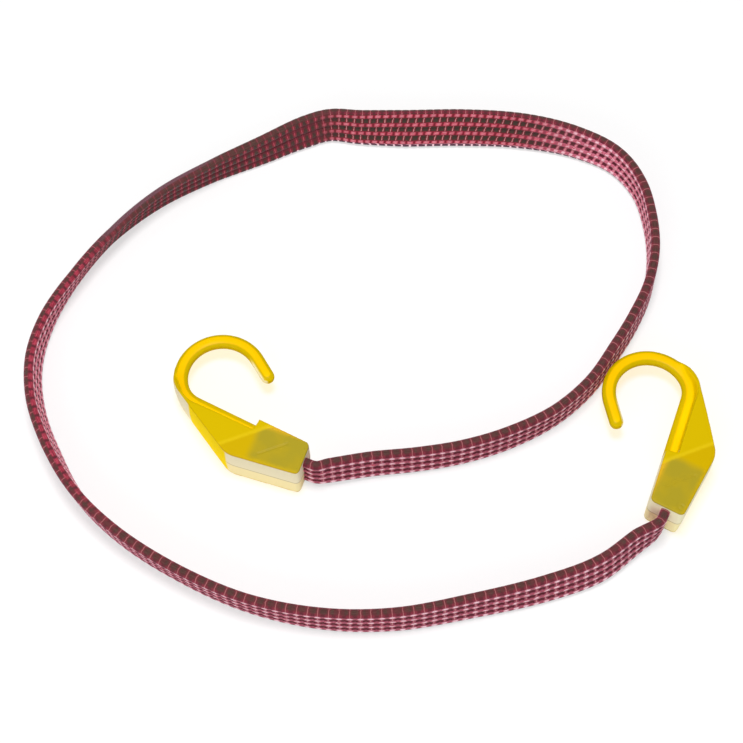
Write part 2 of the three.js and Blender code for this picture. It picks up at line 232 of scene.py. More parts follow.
# %% [markdown]
# ## The woven sheath
# The sheath is braided round the cores, so each core shows as a raised rib on both faces. On every
# rib the pink yarn floats in short bricks with a dark gap between them, and dark blocks fill the
# valleys beside those gaps. A displacement modifier could raise this from a texture, but then the
# mesh depends on a picture of the weave. Here a flat grid is rolled round the section, so each
# vertex knows its place in the weave and is raised by it. The strap comes in three stretches,
# because its two ends have to follow the hooks when they are pulled.

# %% Describe the sheath's section
RIB_COUNT = 4
RIB_PITCH = 0.0044
BRICK_PITCH = 0.00435  # along the strap
BACK_BRICK_PITCH = 0.0038  # on the back of the loop, where the strap lies slack
BACK_OF_LOOP = (0.27, 0.6)  # metres along the strap
BACK_BLEND = 0.03
# Metres along the strap: between these the rows of the inner face stop slanting.
SLANT_END = (0.385, 0.42)
VALLEY_DEPTH = 0.0009
RIB_SHAPE = 0.7  # below 1 the ribs are fuller than a sine wave
BRICK_RELIEF = 0.00026
EDGE_RELIEF = 0.00012
GAP_SIDE = (0.1, 0.6)  # of the sine along a brick: between these the yarn rises from the gap
TIE_SIDE = (0.8, 1.0)  # of the same sine: between these the valley sinks to its tie
FACE_SPOTS = 28  # steps across one face
EDGE_SPOTS = 12  # steps round one edge
FACE_REACH = 1.6  # in rib pitches from the middle: beyond it the section rounds off
EDGE_REACH = 2.5  # the weave's own coordinate at the middle of an edge


def on_back(along):
    """1 on the back of the loop and 0 elsewhere, with soft ends."""
    first, last = BACK_OF_LOOP
    leaving = smooth_step(along, last - BACK_BLEND, last + BACK_BLEND)
    return smooth_step(along, first - BACK_BLEND, first + BACK_BLEND) * (1 - leaving)


line_slack = np.array([on_back(along) for along in line_lengths[1:]])
line_pitches = BRICK_PITCH + (BACK_BRICK_PITCH - BRICK_PITCH) * line_slack
line_bricks = np.concatenate([[0.0], np.cumsum(steps / line_pitches)])


def bricks_before(along):
    """How many bricks of the weave lie before a place along the strap."""
    return float(np.interp(along, line_lengths, line_bricks))


def slant_share(along):
    """1 where the rows of the loop's inner face slant and 0 where they don't."""
    return 1 - smooth_step(along, *SLANT_END)


def rib_fullness(across):
    """1 on top of a rib and 0 in the valley beside it, across being in rib pitches."""
    return max(math.cos(math.pi * (across - math.floor(across) - 0.5)), 0.0) ** RIB_SHAPE


def sheath_spots():
    """Spots round the section, each with four values.

    They are its place across in the weave, its angle round an edge or None on a face, its side, and
    its shift along in bricks, since on the loop's inner face the rows can slant by one brick.
    """
    up_face = [(FACE_REACH * (2 * i / FACE_SPOTS - 1), None) for i in range(FACE_SPOTS + 1)]
    edge = [math.pi * i / EDGE_SPOTS for i in range(1, EDGE_SPOTS)]
    reach = EDGE_REACH - FACE_REACH
    over = [(FACE_REACH + reach * (1 - abs(1 - 2 * a / math.pi)), a) for a in edge]
    spots = [(across, None, 1, (across / FACE_REACH - 1) / 2) for across, angle in up_face]
    spots += [(across, angle, 1, 0.0) for across, angle in over]
    spots += [(across, None, -1, 0.0) for across, angle in reversed(up_face)]
    spots += [(-across, angle, -1, 0.0) for across, angle in over]
    return spots + spots[:1]


def sheath_point(spot, along):
    """A point of the sheath's section, raised or sunk by the weave."""
    across, angle, side, shift = spot
    in_brick = abs(math.sin(math.pi * (bricks_before(along) + shift * slant_share(along))))
    gap = 1 - smooth_step(in_brick, *GAP_SIDE)
    tick = smooth_step(in_brick, *TIE_SIDE)
    if angle is None:
        fullness = rib_fullness(across)
        sunk = BRICK_RELIEF * (gap * fullness + tick * (1 - fullness))
        height = STRAP_THICKNESS / 2 - VALLEY_DEPTH * (1 - fullness) - sunk
        return Vector((side * height, across * RIB_PITCH, 0.0))
    corner = STRAP_THICKNESS / 2 - VALLEY_DEPTH * (1 - rib_fullness(FACE_REACH))
    crown = STRAP_WIDTH / 2 - FACE_REACH * RIB_PITCH - EDGE_RELIEF * tick
    edge = FACE_REACH * RIB_PITCH + crown * math.sin(angle)
    return side * Vector((corner * math.cos(angle), edge, 0.0))


sheath_ring = sheath_spots()
print("sheath section:", len(sheath_ring) - 1, "points")

# %% Roll a grid round the strap
RING_STEP = BRICK_PITCH / 7
CAP_ANGLE = math.radians(60)
SAME_SPOT = 1e-6  # vertices closer than this are one


def close_holes(bm):
    """Fills every open rim with a face."""
    rims = [edge for edge in bm.edges if edge.is_boundary]
    bmesh.ops.holes_fill(bm, edges=rims, sides=0)


def finish_mesh(name, bm):
    """Makes a smooth shaded object of a bmesh, with its place in its mesh."""
    mesh = bpy.data.meshes.new(name)
    bm.to_mesh(mesh)
    bm.free()
    mesh.polygons.foreach_set("use_smooth", [True] * len(mesh.polygons))
    mesh.set_sharp_from_angle(angle=CAP_ANGLE)
    obj = bpy.data.objects.new(name, mesh)
    scene.collection.objects.link(obj)
    return obj


def rolled_stretch(name, first, last, step, ring, point):
    """A closed tube along the strap: a grid whose columns go round the ring of spots."""
    rings = round((last - first) / step)
    columns = len(ring) - 1
    alongs = [first + (last - first) * i / rings for i in range(rings + 1)]
    places = [strap_place(along) for along in alongs]
    bricks = [bricks_before(along) for along in alongs]
    bm = bmesh.new()
    weave = bm.loops.layers.uv.new("weave")
    facing_left = bm.verts.layers.float.new("facing_left")
    bmesh.ops.create_grid(bm, x_segments=rings, y_segments=columns, size=1.0)
    coordinates = {}
    for vert in bm.verts:
        i = round((vert.co.x + 1) / 2 * rings)
        spot = ring[round((vert.co.y + 1) / 2 * columns)]
        across, angle, side, shift = spot
        coordinates[vert] = (bricks[i] + shift * slant_share(alongs[i]), across)
        vert[facing_left] = side if angle is None else side * math.cos(angle)
        vert.co = places[i] @ point(spot, alongs[i])
    for face in bm.faces:
        for loop in face.loops:
            loop[weave].uv = coordinates[loop.vert]
    bmesh.ops.remove_doubles(bm, verts=bm.verts, dist=SAME_SPOT)
    close_holes(bm)
    bmesh.ops.recalc_face_normals(bm, faces=bm.faces)
    return finish_mesh(name, bm)


# %% Make the sheath's three stretches
TAIL_LENGTH = 0.132  # the part at each end that reaches into its hook

STRETCHES = {
    "left_tail": (0.0, TAIL_LENGTH),
    "middle": (TAIL_LENGTH, strap_length - TAIL_LENGTH),
    "right_tail": (strap_length - TAIL_LENGTH, strap_length),
}
sheath = {}
for stretch, (first, last) in STRETCHES.items():
    name = f"sheath_{stretch}"
    sheath[stretch] = rolled_stretch(name, first, last, RING_STEP, sheath_ring, sheath_point)
    print(f"sheath {stretch}: {len(sheath[stretch].data.polygons)} faces, {last - first:.3f} m")

# %% [markdown]
# ## The rubber cores
# Each core is a plain round cord of latex, and it gives the strap its pull. It never shows while
# the sheath is whole, but it is a piece of its own on the real object, so it is one here too. A
# curve with a round bevel would do, but it would need a route of its own. So the same kind of grid
# is rolled round a circle, and the cores stay in line with the sheath.

# %% Make the cores
CORE_DIAMETER = 0.003
CORE_SIDES = 12
CORE_RING_STEP = 0.004
core_ring = [(2 * math.pi * i / CORE_SIDES, None, 1, 0.0) for i in range(CORE_SIDES)]
core_ring.append(core_ring[0])


def core_point(index):
    """The section of one core, as a function of a spot and the length along."""
    middle = (index - (RIB_COUNT - 1) / 2) * RIB_PITCH

    def point(spot, along):
        radius = CORE_DIAMETER / 2
        return Vector((radius * math.cos(spot[0]), middle + radius * math.sin(spot[0]), 0.0))

    return point


cores = {stretch: [] for stretch in STRETCHES}
for index in range(RIB_COUNT):
    for stretch, (first, last) in STRETCHES.items():
        name = f"core_{index + 1}_{stretch}"
        core = rolled_stretch(name, first, last, CORE_RING_STEP, core_ring, core_point(index))
        cores[stretch].append(core)
print("cores:", sum(len(row) for row in cores.values()), "stretches")

# %% [markdown]
# ## Tie the strap's middle to its body
# The middle of the loop stays with the strap's body. The two tails reach into the hooks, which
# slide away on the real cord when it is pulled, but here the tails are tied to no body and keep
# their place.

CORD_POINT_STEP = 0.01


def strap_path(first, last):
    """Points along the strap's middle over a stretch."""
    count = math.ceil((last - first) / CORD_POINT_STEP)
    return [strap_place(first + (last - first) * i / count).translation for i in range(count + 1)]


left_mouth = strap_place(STRAP_END).translation
right_mouth = strap_place(strap_length - STRAP_END).translation
left_seam = strap_place(TAIL_LENGTH).translation
right_seam = strap_place(strap_length - TAIL_LENGTH).translation

for stretch, (first, last) in STRETCHES.items():
    for piece in [sheath[stretch]] + cores[stretch]:
        if stretch == "middle":
            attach(piece, "strap")
        elif stretch == "left_tail":
            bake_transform(piece)
        else:
            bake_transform(piece)

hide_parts("strap_sheath")
for index, core in enumerate(cores["middle"]):
    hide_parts(f"rubber_core_{index + 1}")

for stretch, (first, last) in STRETCHES.items():
    strap_path(first, last)
print("cords:", ", ".join(f"{name} {b - a:.3f} m" for name, (a, b) in STRETCHES.items()))

# %% [markdown]
# ## The hook's socket and web
# A hook is moulded in one piece. Its socket is a hollow box for the clamp, and behind it a web of
# nearly the same height narrows into the bar that curls round a rail. The box starts as a flat
# outline that is extruded, its upright corners are bevelled, and slanting planes cut the web's
# faces down. The cavity is pushed in from the mouth by insetting and extruding one face, as one
# would do by hand.

# %% Set out the hook's plan
# The hook's own axes: x from the mouth into it, y towards the curl, z square to its flat faces.
MOUTH_HALF = 0.00786
SOCKET_LENGTH = 0.0252
INNER_EDGE_ANGLE = math.radians(8.3)
OUTER_EDGE_ANGLE = math.radians(2.0)
OUTER_CORNER_RUN = 0.0077
SHANK_LENGTH = 0.0308
BEND_RADIUS = 0.010
BEND_SWEEP = math.radians(45)
CURL_RADIUS = 0.0148
CURL_SWEEP = math.radians(212)  # heading of the bar at the end of the curl
TIP_LENGTH = 0.010
RIB_WIDTH = 0.0054
CURL_BAR_WIDTH = 0.0064
TIP_WIDTH = 0.0061
BAR_THICKNESS = 0.0044
MEETING_HEADING = math.radians(26)  # where the web's outer wall begins to follow the bar
RUN_OUT_HEADING = math.radians(78)
WEB_ARC_STEPS = 9
WEB_ON_BAR = 0.6  # share of the bar's width that the web leaves free on the curl's inner side
SHOULDER = 0.0297  # past the crease: there the web begins to run out
SHOULDER_THICKNESS = 0.0196
RUN_OUT_THICKNESS = 0.0125  # half way down the run-out, so that it rounds off
RUN_OUT_END = 0.0008  # below the bar's faces, so that the web sinks into the bar
CREASE_RUN = 0.0055
CREASE_NORMAL = math.radians(50)

inner_edge = Matrix.Translation((0.0, MOUTH_HALF, 0.0)) @ Matrix.Rotation(INNER_EDGE_ANGLE, 4, "Z")
step_along = SOCKET_LENGTH / math.cos(INNER_EDGE_ANGLE)
bend_along = step_along + SHANK_LENGTH


def around(centre, radius, heading):
    """The point at a radius about a centre where a bar that turns round it has this heading."""
    return centre + radius * Vector((math.sin(heading), -math.cos(heading), 0.0))


bend_centre = Vector((bend_along, BEND_RADIUS, 0.0))
curl_centre = around(bend_centre, BEND_RADIUS - CURL_RADIUS, BEND_SWEEP)
outer_corner_x = SOCKET_LENGTH + OUTER_CORNER_RUN
outer_corner_y = -MOUTH_HALF - outer_corner_x * math.tan(OUTER_EDGE_ANGLE)
outer_corner = Vector((outer_corner_x, outer_corner_y, 0.0))
web_arc = []
for i in range(WEB_ARC_STEPS + 1):
    heading = MEETING_HEADING + (RUN_OUT_HEADING - MEETING_HEADING) * i / WEB_ARC_STEPS
    web_arc.append(inner_edge @ around(curl_centre, CURL_RADIUS + CURL_BAR_WIDTH, heading))
run_out = web_arc[-1]
crease = Vector((SOCKET_LENGTH + CREASE_RUN, 0.0, 0.0))
crease_across = Vector((math.cos(CREASE_NORMAL), math.sin(CREASE_NORMAL), 0.0))
shoulder = crease + SHOULDER * crease_across
half_way = (shoulder + run_out) / 2


def web_inner(heading):
    """The web's edge on the bar: it leaves the bar free at first and ends at its outer side."""
    on_curl = WEB_ON_BAR * CURL_BAR_WIDTH
    if heading < BEND_SWEEP:
        free = RIB_WIDTH + (on_curl - RIB_WIDTH) * heading / BEND_SWEEP
        return inner_edge @ around(bend_centre, BEND_RADIUS + free, heading)
    share = (heading - BEND_SWEEP) / (RUN_OUT_HEADING - BEND_SWEEP)
    reach = CURL_RADIUS + on_curl + share * (CURL_BAR_WIDTH - on_curl)
    return inner_edge @ around(curl_centre, reach, heading)


web_back = [web_inner(RUN_OUT_HEADING * i / WEB_ARC_STEPS) for i in reversed(range(WEB_ARC_STEPS))]
print("hook reaches", tuple(round(n, 4) for n in run_out), "at the end of its web")

# %% Extrude the socket and slope its web
MOUTH_CORNER_ROUND = 0.0022
OUTER_CORNER_ROUND = 0.0032
CORNER_SEGMENTS = 6
CUT_TOLERANCE = 1e-7  # a vertex closer than this to a cut lies on it


def upright_edges(bm, spots):
    """The upright edges of a block nearest to some plan points."""
    uprights = [e for e in bm.edges if (e.verts[0].co - e.verts[1].co).xy.length < SAME_SPOT]
    return [min(uprights, key=lambda e: (e.verts[0].co - spot).xy.length) for spot in spots]


def round_corners(bm, spots, size):
    bmesh.ops.bevel(
        bm, geom=upright_edges(bm, spots), offset=size, segments=CORNER_SEGMENTS, profile=0.5,
        affect="EDGES", material=-1,
    )


def slice_off(bm, start, start_thickness, end, end_thickness):
    """Cuts both faces down between two lines along the crease, and closes the cuts."""
    run = (end - start).dot(crease_across)
    slope = (start_thickness - end_thickness) / 2 / run
    for side in (1, -1):
        normal = crease_across * slope + Vector((0.0, 0.0, side))
        spot = start + Vector((0.0, 0.0, side * start_thickness / 2))
        whole = bm.verts[:] + bm.edges[:] + bm.faces[:]
        bmesh.ops.bisect_plane(
            bm, geom=whole, dist=CUT_TOLERANCE, plane_co=spot, plane_no=normal, clear_outer=True
        )
        close_holes(bm)


def socket_block():
    mouth_corners = [Vector((0.0, -MOUTH_HALF, 0.0)), Vector((0.0, MOUTH_HALF, 0.0))]
    outline = [
        mouth_corners[0],
        outer_corner,
        *web_arc,
        *web_back,
        inner_edge @ Vector((step_along, -RIB_WIDTH, 0.0)),
        inner_edge @ Vector((step_along, 0.0, 0.0)),
        mouth_corners[1],
    ]
    bm = bmesh.new()
    low = Vector((0.0, 0.0, -hook_height / 2))
    floor = bm.faces.new([bm.verts.new(point + low) for point in outline])
    raised = bmesh.ops.extrude_face_region(bm, geom=[floor])["geom"]
    top = [item for item in raised if isinstance(item, bmesh.types.BMVert)]
    bmesh.ops.translate(bm, verts=top, vec=(0.0, 0.0, hook_height))
    bmesh.ops.recalc_face_normals(bm, faces=bm.faces)
    round_corners(bm, mouth_corners, MOUTH_CORNER_ROUND)
    round_corners(bm, [outer_corner], OUTER_CORNER_ROUND)
    slice_off(bm, crease, hook_height, shoulder, SHOULDER_THICKNESS)
    slice_off(bm, shoulder, SHOULDER_THICKNESS, half_way, RUN_OUT_THICKNESS)
    slice_off(bm, half_way, RUN_OUT_THICKNESS, run_out, RUN_OUT_END)
    bmesh.ops.recalc_face_normals(bm, faces=bm.faces)
    return bm


block = socket_block()
print("socket and web:", len(block.faces), "faces")

# %% Push the cavity in from the mouth
SLOT_HALF = 0.0025
CAVITY_HALF_HEIGHT = 0.0093
MOUTH_WALL = 0.003
SIDE_WALL = 0.0023
CAVITY_BACK = 0.0231


def set_ring(verts, x, low_y, high_y):
    """Puts the four corners of a face at a depth, between two sides of the cavity."""
    middle_y = sum(vert.co.y for vert in verts) / len(verts)
    for vert in verts:
        y = low_y if vert.co.y < middle_y else high_y
        vert.co = (x, y, math.copysign(CAVITY_HALF_HEIGHT, vert.co.z))


def push_cavity(bm):
    mouth = max(bm.faces, key=lambda face: -face.normal.x * face.calc_area())
    wide = SLOT_HALF + 2 * MOUTH_FLARE
    bmesh.ops.inset_individual(bm, faces=[mouth], thickness=MOUTH_FLARE)
    set_ring(mouth.verts, 0.0, -wide, wide)
    sections = [(MOUTH_FLARE, -SLOT_HALF, SLOT_HALF), (MOUTH_WALL, -SLOT_HALF, SLOT_HALF)]
    for x in (MOUTH_WALL, CAVITY_BACK):
        outer = -MOUTH_HALF - x * math.tan(OUTER_EDGE_ANGLE) + SIDE_WALL
        inner = MOUTH_HALF + x * math.tan(INNER_EDGE_ANGLE) - SIDE_WALL
        sections.append((x, outer, inner))
    for x, low_y, high_y in sections:
        pushed = bmesh.ops.extrude_face_region(bm, geom=[mouth])["geom"]
        mouth = next(item for item in pushed if isinstance(item, bmesh.types.BMFace))
        set_ring(mouth.verts, x, low_y, high_y)


push_cavity(block)
print("with its cavity:", len(block.faces), "faces")

# %% [markdown]
# ## The hook's bar
# The bar is a rounded strip that runs along the shank, bends out a little and curls back over more
# than half a turn. It is one section pushed along its way: a square face with its corners bevelled,
# extruded straight, turned step by step round the bend and the curl, and drawn in to a round tip.

# %% Step along the bar
BACK_WALL = 0.0021
BEND_STEPS = 10
CURL_STEPS = 48
TIP_STEPS = 6
SHANK_BAR_WIDTH = 0.0076  # its outer side is in the web


def bar_stations():
    """Steps along the bar: its inner point, its heading and its width."""
    start = step_along - BACK_WALL
    stations = [(Vector((start, 0.0, 0.0)), 0.0, SHANK_BAR_WIDTH)]
    stations.append((Vector((bend_along - BEND_RADIUS, 0.0, 0.0)), 0.0, SHANK_BAR_WIDTH))
    full = BEND_RADIUS * (1 + BEND_SWEEP)
    curl_length = CURL_RADIUS * (CURL_SWEEP - BEND_SWEEP)
    for i in range(BEND_STEPS + 1):
        heading = BEND_SWEEP * i / BEND_STEPS
        swell = smooth_step(BEND_RADIUS * (1 + heading), 0.0, full)
        width = SHANK_BAR_WIDTH + swell * (CURL_BAR_WIDTH - SHANK_BAR_WIDTH)
        stations.append((around(bend_centre, BEND_RADIUS, heading), heading, width))
    for i in range(1, CURL_STEPS + 1):
        heading = BEND_SWEEP + (CURL_SWEEP - BEND_SWEEP) * i / CURL_STEPS
        taper = curl_length * i / CURL_STEPS / (curl_length + TIP_LENGTH)
        width = CURL_BAR_WIDTH + taper * (TIP_WIDTH - CURL_BAR_WIDTH)
        stations.append((around(curl_centre, CURL_RADIUS, heading), heading, width))
    ahead = Vector((math.cos(CURL_SWEEP), math.sin(CURL_SWEEP), 0.0))
    stations.append((stations[-1][0] + TIP_LENGTH * ahead, CURL_SWEEP, TIP_WIDTH))
    return stations


def bar_matrices():
    """Where the section of unit width goes at each step, the tip's rounding included."""
    matrices = []
    for point, heading, width in bar_stations():
        turn = Matrix.Translation(point) @ Matrix.Rotation(heading, 4, "Z")
        matrices.append(turn @ Matrix.Diagonal((1.0, width, 1.0, 1.0)))
    for i in range(1, TIP_STEPS):
        angle = math.pi / 2 * i / TIP_STEPS
        narrow = math.cos(angle)
        ahead, aside = TIP_WIDTH / 2 * math.sin(angle), -TIP_WIDTH / 2 * (1 - narrow)
        forward = Matrix.Translation((ahead, aside, 0.0))
        squeeze = Matrix.Diagonal((1.0, TIP_WIDTH * narrow, (1 + narrow) / 2, 1.0))
        matrices.append(turn @ forward @ squeeze)
    return matrices


print("bar:", len(bar_matrices()), "steps")

# %% Sweep the bar
BAR_ROUND = 0.0016
BAR_SEGMENTS = 5


def hook_bar():
    """The bar in the hook's axes."""
    bm = bmesh.new()
    bmesh.ops.create_grid(bm, x_segments=1, y_segments=1, size=0.5)
    bmesh.ops.scale(bm, verts=bm.verts, vec=(CURL_BAR_WIDTH, BAR_THICKNESS, 1.0))
    bmesh.ops.bevel(
        bm, geom=bm.verts[:], offset=BAR_ROUND, segments=BAR_SEGMENTS, profile=0.5,
        affect="VERTICES", material=-1,
    )
    bmesh.ops.translate(bm, verts=bm.verts, vec=(-CURL_BAR_WIDTH / 2, 0.0, 0.0))
    # Stands the section up square to the bar and makes it one unit wide.
    stand = Matrix(((0, 0, 1, 0), (1 / CURL_BAR_WIDTH, 0, 0, 0), (0, 1, 0, 0), (0, 0, 0, 1)))
    matrices = bar_matrices()
    bmesh.ops.transform(bm, matrix=matrices[0] @ stand, verts=bm.verts)
    end = bm.faces[:][0]
    for previous, matrix in zip(matrices, matrices[1:]):
        pushed = bmesh.ops.extrude_face_region(bm, geom=[end])["geom"]
        end = next(item for item in pushed if isinstance(item, bmesh.types.BMFace))
        bmesh.ops.transform(bm, matrix=matrix @ previous.inverted(), verts=end.verts)
    bmesh.ops.transform(bm, matrix=inner_edge, verts=bm.verts)
    bmesh.ops.recalc_face_normals(bm, faces=bm.faces)
    return bm


bar = hook_bar()
print("bar:", len(bar.faces), "faces")

# %% [markdown]
# ## One smooth moulding
# On the real hook the bar and the web run into each other with soft edges everywhere, because the
# plastic is moulded. A boolean would join the two with hard seams. A voxel remesh melts both into
# one even skin instead, and a few rounds of smoothing take the sharpness off its edges. Small marks
# are pressed in afterwards, since a remesh would lose them: the groove across each flat face, and
# the round scar of the moulding gate on one.

# %% Melt the socket and the bar together
VOXEL = 0.0004
SMOOTHING_ROUNDS = 5
SMOOTHING = 0.5  # share of the way to its neighbours' middle that a vertex goes in a round


def smooth_round(skin, verts):
    bmesh.ops.smooth_vert(
        skin, verts=verts, factor=SMOOTHING, use_axis_x=True, use_axis_y=True, use_axis_z=True
    )


def melted(parts):
    """One even skin round some closed meshes that overlap."""
    whole = bpy.data.meshes.new("hook_parts")
    joined = bmesh.new()
    for part in parts:
        part.to_mesh(whole)
        joined.from_mesh(whole)
    joined.to_mesh(whole)
    joined.free()
    holder = bpy.data.objects.new("hook_parts", whole)
    scene.collection.objects.link(holder)
    remesh = holder.modifiers.new("skin", "REMESH")
    remesh.mode = "VOXEL"
    remesh.voxel_size = VOXEL
    skin = bmesh.new()
    skin.from_object(holder, bpy.context.evaluated_depsgraph_get())
    bpy.data.objects.remove(holder)
    bpy.data.meshes.remove(whole)
    for _ in range(SMOOTHING_ROUNDS):
        smooth_round(skin, skin.verts)
    return skin


FILLET_ROUNDS = 40
FILLET_START = 0.014  # past the crease
FILLET_GROWTH = 0.016  # length over which the rounding grows to its full size
FILLET_END = 0.052
FILLET_LEVEL = 0.0013  # above and below the bar's middle


def soften_run_out(skin):
    """Rounds the web off where it sinks into the bar, each round starting a little further on."""
    high = [vert for vert in skin.verts if abs(vert.co.z) > FILLET_LEVEL]
    past = {vert: (vert.co - crease).dot(crease_across) for vert in high}
    for i in range(FILLET_ROUNDS):
        start = FILLET_START + FILLET_GROWTH * i / FILLET_ROUNDS
        smooth_round(skin, [vert for vert in high if start < past[vert] < FILLET_END])


moulding = melted([block, bar])
soften_run_out(moulding)
print("moulding:", len(moulding.faces), "faces")

# %% Let every vertex carry its place
MIDDLE_STEP = 0.0005  # between points along the bar's middle line
BLEND_RUN = 0.0005  # how softly the bar's colour runs into the web's
OUTER_LOOK = (0.35, 0.7)  # how squarely a spot of the web's outer wall looks outwards
MM = 1000  # millimetres in a metre


def bar_middle():
    """Points close together along the bar's middle line, each with the bar's half width."""
    points = []
    stations = bar_stations()
    for (start, heading, width), (end, _, _) in zip(stations, stations[1:]):
        to_middle = around(Vector((0.0, 0.0, 0.0)), width / 2, heading)
        count = math.ceil((end - start).length / MIDDLE_STEP)
        for i in range(count):
            points.append((inner_edge @ (start.lerp(end, i / count) + to_middle), width / 2))
    return points


bar_tree = BVHTree.FromBMesh(bar)
block_tree = BVHTree.FromBMesh(block)
middle_points = bar_middle()
middle_tree = kdtree.KDTree(len(middle_points))
for index, (point, _) in enumerate(middle_points):
    middle_tree.insert(point, index)
middle_tree.balance()

moulding.normal_update()
on_bar = moulding.verts.layers.float.new("on_bar")
bar_edge = moulding.verts.layers.float.new("bar_edge")
outer_wall = moulding.verts.layers.float.new("outer_wall")
hook_place = moulding.verts.layers.float_vector.new("hook_place")
web_run = (web_arc[0] - outer_corner).normalized()
web_outward = Vector((web_run.y, -web_run.x, 0.0))
for vert in moulding.verts:
    _, nearest, from_middle = middle_tree.find((vert.co.x, vert.co.y, 0.0))
    vert[bar_edge] = from_middle / middle_points[nearest][1]
    to_bar = bar_tree.find_nearest(vert.co)[3]
    to_block = block_tree.find_nearest(vert.co)[3]
    vert[on_bar] = smooth_step(to_block - to_bar, -BLEND_RUN, BLEND_RUN)
    vert[hook_place] = vert.co * MM
    vert[outer_wall] = smooth_step(vert.normal.dot(web_outward), *OUTER_LOOK)
web_verts = [vert for vert in moulding.verts if vert[on_bar] <= 0.5]
print("vertices off the bar:", len(web_verts))

# %% Lean the walls and press in the marks
WALL_DRAFT = 0.00035
GROOVE_FROM_MOUTH = 0.0144
GROOVE_HALF_LENGTH = 0.0075
GROOVE_HALF_WIDTH = 0.0006
GROOVE_DEPTH = 0.0003
GROOVE_END_RUN = 0.001  # length over which it runs out at its ends
GATE_PLACE = Vector((0.0034, -0.005))
GATE_RADIUS = 0.0011
GATE_DEPTH = 0.0002
FLAT_FACE_LEVEL = 0.95  # of half the hook's height: marks are pressed in above it
groove_along = Vector((-crease_across.y, crease_across.x))


def mark_depth(spot, side):
    """How deep the marks press a point of a flat face."""
    from_groove = spot.xy - Vector((GROOVE_FROM_MOUTH, 0.0))
    beside = abs(from_groove.dot(crease_across.xy))
    past_end = abs(from_groove.dot(groove_along)) - GROOVE_HALF_LENGTH
    groove = 1 - smooth_step(beside, 0.0, GROOVE_HALF_WIDTH)
    groove *= 1 - smooth_step(past_end, -GROOVE_END_RUN, 0.0)
    gate = 1 - smooth_step(abs((spot.xy - GATE_PLACE).length - GATE_RADIUS), 0.0, GROOVE_HALF_WIDTH)
    return GROOVE_DEPTH * groove + GATE_DEPTH * gate * (side > 0)


for vert in web_verts:
    high = abs(vert.co.z) / (hook_height / 2)
    if vert.normal.z * vert.co.z > 0 and high > FLAT_FACE_LEVEL:
        vert.co.z -= math.copysign(mark_depth(vert.co, vert.co.z), vert.co.z)
    lean_in = vert.normal.copy()
    lean_in.z = 0.0
    vert.co -= lean_in * WALL_DRAFT * high
print("marked moulding:", len(moulding.verts), "vertices")

# %% Place a moulding at each end
moulded = bpy.data.meshes.new("hook_moulding")
moulding.to_mesh(moulded)
moulded.polygons.foreach_set("use_smooth", [True] * len(moulded.polygons))
hook_pieces = {}
for side, hook in HOOKS.items():
    mesh = moulded.copy()
    flip = Matrix.Rotation(math.pi if hook["flipped"] else 0.0, 4, "X")
    turn = Matrix.Rotation(hook["turn"], 4, "Z")
    mesh.transform(Matrix.Translation((*hook["mouth"], hook_height / 2)) @ turn @ flip)
    piece = bpy.data.objects.new(f"{side}_hook_moulding", mesh)
    scene.collection.objects.link(piece)
    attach(piece, f"{side}_hook")
    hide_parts(f"{side}_hook")
    hook_pieces[side] = piece
for spent in (moulding, block, bar):
    spent.free()
bpy.data.meshes.remove(moulded)
for side, piece in hook_pieces.items():
    print(side, "hook:", len(piece.data.polygons), "faces")

# %% [markdown]
# ## Small helpers for materials
# A procedural material is a chain of nodes. Adding each node by hand takes three lines or more, so
# a few helpers add one and hand back its output: sums, soft steps between two values, and mixes of
# two colours.

# %% Define the node helpers


def linear(level):
    """A colour's level from 0 to 255, made linear by the standard curve."""
    share = level / 255
    return share / 12.92 if level < 11 else ((share + 0.055) / 1.055) ** 2.4


def srgb(red, green, blue):
    """A colour as a paint program shows it, made linear for Blender."""
    return (linear(red), linear(green), linear(blue), 1.0)


def feed(tree, socket, value):
    """Links an output to a socket, or sets the socket's own value."""
    if isinstance(value, bpy.types.NodeSocket):
        tree.links.new(value, socket)
    else:
        socket.default_value = value


def sum_node(tree, kind, operation, values):
    """A Math or a Vector Math node on outputs or values."""
    node = tree.nodes.new(kind)
    node.operation = operation
    for socket, value in zip(node.inputs, values):
        feed(tree, socket, value)
    return node


def sum_up(tree, operation, *values):
    return sum_node(tree, "ShaderNodeMath", operation, values).outputs["Value"]


def sum_vectors(tree, operation, *values):
    return sum_node(tree, "ShaderNodeVectorMath", operation, values).outputs["Vector"]


def times(tree, *values):
    product = values[0]
    for value in values[1:]:
        product = sum_up(tree, "MULTIPLY", product, value)
    return product


def soft_step(tree, value, low, high, at_low=0.0, at_high=1.0):
    """Goes softly from one value to another while the input goes from low to high."""
    node = tree.nodes.new("ShaderNodeMapRange")
    node.interpolation_type = "SMOOTHSTEP"
    limits = {"From Min": low, "From Max": high, "To Min": at_low, "To Max": at_high}
    for name, setting in {"Value": value, **limits}.items():
        feed(tree, node.inputs[name], setting)
    return node.outputs["Result"]


def soft_drop(tree, value, low, high):
    return soft_step(tree, value, low, high, 1.0, 0.0)


def mix_colours(tree, share, first, second):
    """The first colour where share is 0, and the second where it is 1."""
    node = tree.nodes.new("ShaderNodeMix")
    node.data_type = "RGBA"
    sockets = [socket for socket in node.inputs if socket.enabled]
    for socket, value in zip(sockets, (share, first, second)):
        feed(tree, socket, value)
    return next(socket for socket in node.outputs if socket.enabled)


def mix_values(tree, share, first, second):
    """The first value where share is 0, and the second where it is 1."""
    step = sum_up(tree, "SUBTRACT", second, first)
    return sum_up(tree, "MULTIPLY_ADD", share, step, first)


def carried(tree, name, output="Fac"):
    """What the mesh's vertices carry by this name."""
    node = tree.nodes.new("ShaderNodeAttribute")
    node.attribute_name = name
    return node.outputs[output]


